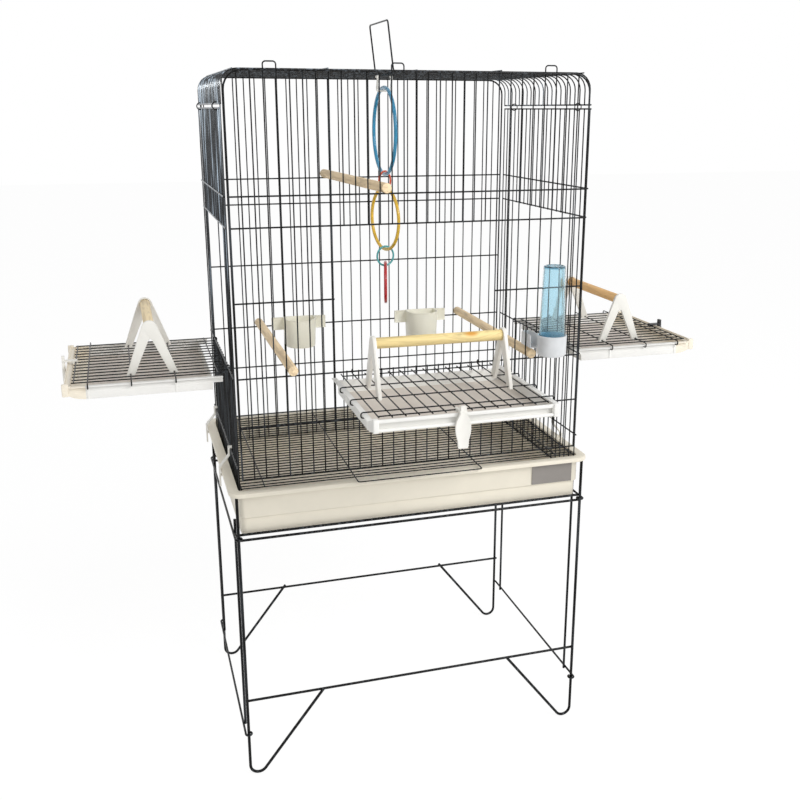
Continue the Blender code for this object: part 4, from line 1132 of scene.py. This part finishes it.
def sliding_grid():
    """Floor grid with its cross stays and the long pull that reaches over the rim."""
    bar = size_of("bar")
    clear, high, up = GRID_Z + bar + CLEAR, GRID_Z + WELD + CLEAR, GRID_Z + bar - WELD
    last = GRID_FRONT + GRID_PITCH * (GRID_COUNT - 1)
    back = last + OVER_BAR
    runs = [(*wire_x(GRID_HALF, GRID_FRONT + GRID_PITCH, GRID_Z), 0, GRID_COUNT - 2, (0, GRID_PITCH, 0))]
    runs += [wire_x(GRID_HALF, y, high) for y in (GRID_FRONT, last)]
    runs.append((mirrored([(-PULL_HALF, back, clear), (-PULL_HALF, PULL_Y, clear)]), WIRE_BEND))
    runs += [([(x, GRID_FRONT - OVER_BAR, up), (x, back, up)],) for x in (-GRID_STAY_X, GRID_STAY_X)]
    set_down(wires("grid", bar, runs), "sliding_floor_grid", "grid", "floor_grid")


def rim_clips():
    """Clips that grip the rim and hold down the sides' lower wire."""
    wire_top = SIDE_5 + RAIL_R
    past = SIDE_X + SPAN_OUT + RAIL_R + 0.0004
    inner, thick, rim = SIDE_X - 0.0014, 0.0026, RIM_X + 0.0013
    # The section runs down the clip's inside, past the nib that snaps under the rim, and up its outside
    outline = [
        (inner, wire_top + 0.0005), (past, wire_top + 0.0005), (past, wire_top - 0.0123),
        (rim, RIM_TOP + 0.0035), (rim, RIM_LOW - 0.0016), (RIM_X - 0.0023, RIM_LOW - 0.0016),
        (RIM_X - 0.0023, RIM_LOW - 0.0040),
        (rim, RIM_LOW - 0.0040), (rim, RIM_LOW - 0.0225), (rim + thick, RIM_LOW - 0.0225),
        (rim + thick, RIM_TOP + 0.0045), (past + thick, wire_top - 0.0111),
        (past + thick, wire_top + 0.0005 + thick), (inner, wire_top + 0.0005 + thick),
    ]
    for label, sx, gap in (("fl", -1, 5), ("bl", -1, 18), ("fr", 1, 5), ("br", 1, 18)):
        y = -SIDE_HALF_Y + PITCH_Y * (gap + 0.5)
        clip = slab("clip", [(sx * u, v) for u, v in outline], y - 0.005, y + 0.005, (0, 2, 1))
        set_down(soften(clip, 0.0006), "rim_clip_" + label, "clip_" + label, "tub_clip_" + label, "fitting", 40)


# Stand

def stand_ends():
    """Front and back frames: each leg turns under at its foot and runs back up as a brace."""
    for side, sign in (("front", -1), ("back", 1)):
        y, top, brace_x, brace_top = sign * LEG_Y, RIM_LOW - 0.0004, BRACE_X - 0.0018, LOW_BAR + 0.0024
        bend = size_of("foot_bend")
        legs = [
            ([(s * LEG_X, y, top), (s * LEG_X, y, LEG_TIP_Z), (s * brace_x, y, brace_top)], bend)
            for s in (-1, 1)
        ]
        bars = [wire_x(LEG_X + 0.0030, sign * CROSS_Y, z) for z in (*TOP_BARS, LOW_BAR)]
        obj = joined(wires("legs", size_of("leg"), legs, 12), wires("bars", size_of("stand_bar"), bars, 12))
        set_down(obj, "stand_%s_wirework" % side, "cage", "stand_%s_frame" % side)


def stand_sides():
    """Side frames: eyes round the front legs and open hooks round the back legs."""
    out = LEG_X + EYE_R
    path = arc((LEG_X, -LEG_Y), EYE_R, 110, 351, 15) + [(out, -LEG_Y + 0.0005), (out, LEG_Y - 0.0005)]
    path += arc((LEG_X, LEG_Y), EYE_R, 15, 99, 14)
    for side, sign in (("left", -1), ("right", 1)):
        loops = [([(sign * x, y, z) for x, y in path],) for z in (FRAME_LOW, FRAME_HIGH)]
        post_x = sign * (out - 0.0020 - 0.00225 + 0.0006)
        posts = [wire_z(post_x, y, FRAME_LOW - 0.0024, FRAME_POST_TOP) for y in (-FRAME_POST_Y, FRAME_POST_Y)]
        obj = wires("loops", size_of("eye_wire"), loops, 12)
        joined(obj, wires("posts", size_of("stand_bar"), posts, 12))
        set_down(obj, "stand_%s_wirework" % side, side + "_stand_side", "stand_%s_frame" % side)


# Stage

def seen_rays(tree):
    """1 for a ray from the camera or one that a shiny or clear surface sends on, 0 for the rest."""
    path = add(tree, "ShaderNodeLightPath").outputs
    shiny = {0: path["Is Glossy Ray"], 1: path["Is Transmission Ray"]}
    seen = {0: path["Is Camera Ray"], 1: add(tree, "ShaderNodeMath", shiny, operation="MAXIMUM")}
    return add(tree, "ShaderNodeMath", seen, operation="MAXIMUM")


def plain_world():
    """White behind the object, and an even sky for the light."""
    world = bpy.data.worlds.new("plain_sky")
    bpy.context.scene.world = world
    world.use_nodes = True
    tree = world.node_tree
    sky = tree.nodes["Background"]
    feed(tree, sky, {"Color": (1, 1, 1, 1), "Strength": 0.56})
    white = add(tree, "ShaderNodeBackground", {"Color": (1, 1, 1, 1), "Strength": 1.0})
    mix = add(tree, "ShaderNodeMixShader", {"Fac": seen_rays(tree), 1: sky, 2: white})
    feed(tree, tree.nodes["World Output"], {"Surface": mix})


def floor_material():
    """White studio floor that keeps a soft shadow."""
    made, tree, shader, _ = new_material("studio_floor")
    feed(tree, shader, {"Base Color": (0.95, 0.95, 0.95, 1), "Roughness": 0.9, "Specular IOR Level": 0.0})
    glow = add(tree, "ShaderNodeEmission", {"Color": (1, 1, 1, 1), "Strength": 1.075})
    share = add(tree, "ShaderNodeMath", {0: seen_rays(tree), 1: 0.83}, operation="MULTIPLY")
    mix = add(tree, "ShaderNodeMixShader", {"Fac": share, 1: shader, 2: glow})
    feed(tree, tree.nodes["Material Output"], {"Surface": mix})
    return made


def studio_floor():
    deselect()
    bpy.ops.mesh.primitive_plane_add(size=30)
    floor = bpy.context.active_object
    floor.name = "studio_floor"
    floor.data.materials.append(floor_material())


def lamp(kind, name, energy, spot, aim, **settings):
    """A lamp at one spot that shines towards another."""
    deselect()
    bpy.ops.object.light_add(type=kind, location=spot)
    made = bpy.context.active_object
    made.name = name
    made.data.energy = energy
    for key, value in settings.items():
        setattr(made.data, key, value)
    made.rotation_euler = (Vector(aim) - Vector(spot)).to_track_quat("-Z", "Y").to_euler()
    return made


def studio_lamps():
    """One broad key from the front right and above, and a weak fill from the left."""
    lamp("AREA", "key_lamp", 74.0, (1.7, -2.8, 2.7), (0.1, 0.0, 0.6), shape="DISK", size=1.8)
    lamp("AREA", "fill_lamp", 9.0, (-2.6, -2.3, 2.4), (0, 0.1, 0.7), shape="DISK", size=2.6)


def side_gleam():
    """Narrow lamp from the left that lights only the roof and the left side, for the bars' upper ends."""
    gleam = lamp(
        "SPOT", "side_gleam", 3000.0, (-2.3, -0.9, 1.75), (-0.30, 0.10, 1.13),
        spot_size=math.radians(19), spot_blend=1.0, shadow_soft_size=0.08, color=(0.92, 0.97, 1.0),
    )
    lit = bpy.data.collections.new("gleaming_wires")
    for name in ("left_wirework", "roof_bows_and_stays"):
        lit.objects.link(bpy.data.objects[name])
    gleam.light_linking.receiver_collection = lit


def camera():
    """Camera from the front left, a little above the roof's height."""
    deselect()
    bpy.ops.object.camera_add()
    view = bpy.context.active_object
    view.name = "front_left_camera"
    yaw, pitch, roll = math.radians(17.163), math.radians(15.843), math.radians(0.134)
    ahead = Vector((math.sin(yaw) * math.cos(pitch), math.cos(yaw) * math.cos(pitch), -math.sin(pitch)))
    right = Vector((math.cos(yaw), -math.sin(yaw), 0))
    up = right.cross(ahead)
    across = right * math.cos(roll) + up * math.sin(roll)
    upward = up * math.cos(roll) - right * math.sin(roll)
    turn = Matrix((across, upward, -ahead)).transposed().to_4x4()
    view.matrix_world = Matrix.Translation((-0.45906, -1.586655, 1.13876)) @ turn
    view.data.sensor_width = 36.0
    view.data.lens = 43.884
    view.data.shift_x = -0.02675
    view.data.shift_y = -0.0170
    view.data.clip_start = 0.05
    bpy.context.scene.camera = view


# Operators

class BuildFaces(bpy.types.Operator):
    """Builds the front and the back of the cage"""

    bl_idname = "cage.faces"
    bl_label = "Front and Back"

    def execute(self, context):
        face_wires("front", -1)
        face_wires("back", 1)
        return {"FINISHED"}


class BuildSides(bpy.types.Operator):
    """Builds the left and right sides of the cage"""

    bl_idname = "cage.sides"
    bl_label = "Sides"

    def execute(self, context):
        side_wires("left", -1)
        side_wires("right", 1)
        return {"FINISHED"}


class BuildRoof(bpy.types.Operator):
    """Builds the roof with its tie rings and the carrying handle"""

    bl_idname = "cage.roof"
    bl_label = "Roof and Handle"

    def execute(self, context):
        roof_wires()
        roof_rings()
        carry_handle()
        return {"FINISHED"}


class BuildDoors(bpy.types.Operator):
    """Builds the landing doors with their latches"""

    bl_idname = "cage.doors"
    bl_label = "Landing Doors"

    def execute(self, context):
        door_grilles()
        on_doors(latch_shape(), "turn_latch_{}", "latch_{}", "{}_latch", right_look="dark_fitting")
        return {"FINISHED"}


class BuildTrays(bpy.types.Operator):
    """Builds the drop trays under the landing doors"""

    bl_idname = "cage.trays"
    bl_label = "Drop Trays"

    def execute(self, context):
        trays()
        return {"FINISHED"}


class BuildDowels(bpy.types.Operator):
    """Builds the dowels over the landing doors and their stands"""

    bl_idname = "cage.dowels"
    bl_label = "Landing Dowels"

    def execute(self, context):
        dowel_stands()
        landing_dowels()
        return {"FINISHED"}


class BuildPerches(bpy.types.Operator):
    """Builds the perches in the cage"""

    bl_idname = "cage.perches"
    bl_label = "Perches"

    def execute(self, context):
        inner_perches()
        return {"FINISHED"}


class BuildCups(bpy.types.Operator):
    """Builds the seed cups and the drinker"""

    bl_idname = "cage.cups"
    bl_label = "Cups and Drinker"

    def execute(self, context):
        seed_cups()
        drinker()
        return {"FINISHED"}


class BuildToy(bpy.types.Operator):
    """Builds the hanging rings"""

    bl_idname = "cage.toy"
    bl_label = "Hanging Rings"

    def execute(self, context):
        toy()
        return {"FINISHED"}


class BuildTub(bpy.types.Operator):
    """Builds the tub with its plate and rim clips"""

    bl_idname = "cage.tub"
    bl_label = "Tub"

    def execute(self, context):
        tub()
        bare_plate()
        rim_clips()
        return {"FINISHED"}


class BuildGrid(bpy.types.Operator):
    """Builds the sliding floor grid"""

    bl_idname = "cage.grid"
    bl_label = "Floor Grid"

    def execute(self, context):
        sliding_grid()
        return {"FINISHED"}


class BuildStand(bpy.types.Operator):
    """Builds the folding stand"""

    bl_idname = "cage.stand"
    bl_label = "Stand"

    def execute(self, context):
        stand_ends()
        stand_sides()
        return {"FINISHED"}


class BuildStage(bpy.types.Operator):
    """Adds the floor, the sky, the lamps and the camera"""

    bl_idname = "cage.stage"
    bl_label = "Stage"

    def execute(self, context):
        context.scene.view_settings.view_transform = "Standard"
        plain_world()
        studio_floor()
        studio_lamps()
        side_gleam()
        camera()
        return {"FINISHED"}


PIECES = (
    BuildFaces, BuildSides, BuildRoof, BuildDoors, BuildTrays, BuildDowels, BuildPerches,
    BuildCups, BuildToy, BuildTub, BuildGrid, BuildStand, BuildStage,
)


class CagePanel(bpy.types.Panel):
    """Sizes, colours and pieces of the cage"""

    bl_idname = "VIEW3D_PT_bird_cage"
    bl_label = "Bird Cage"
    bl_space_type = "VIEW_3D"
    bl_region_type = "UI"
    bl_category = "Bird Cage"

    def draw(self, context):
        layout = self.layout
        for title, group in (("Sizes", context.scene.cage_sizes), ("Colours", context.scene.cage_colours)):
            layout.label(text=title)
            column = layout.column(align=True)
            for key in group.__annotations__:
                column.prop(group, key)
        layout.label(text="Pieces")
        column = layout.column(align=True)
        for piece in PIECES:
            column.operator(piece.bl_idname)


CLASSES = (CageSizes, CageColours, *PIECES, CagePanel)


def register():
    for made in CLASSES:
        bpy.utils.register_class(made)
    bpy.types.Scene.cage_sizes = PointerProperty(type=CageSizes)
    bpy.types.Scene.cage_colours = PointerProperty(type=CageColours)


def unregister():
    del bpy.types.Scene.cage_colours
    del bpy.types.Scene.cage_sizes
    for made in reversed(CLASSES):
        bpy.utils.unregister_class(made)


def main():
    register()
    for piece in PIECES:
        group, action = piece.bl_idname.split(".")
        getattr(getattr(bpy.ops, group), action)()
    deselect()


if __name__ == "__main__":
    main()
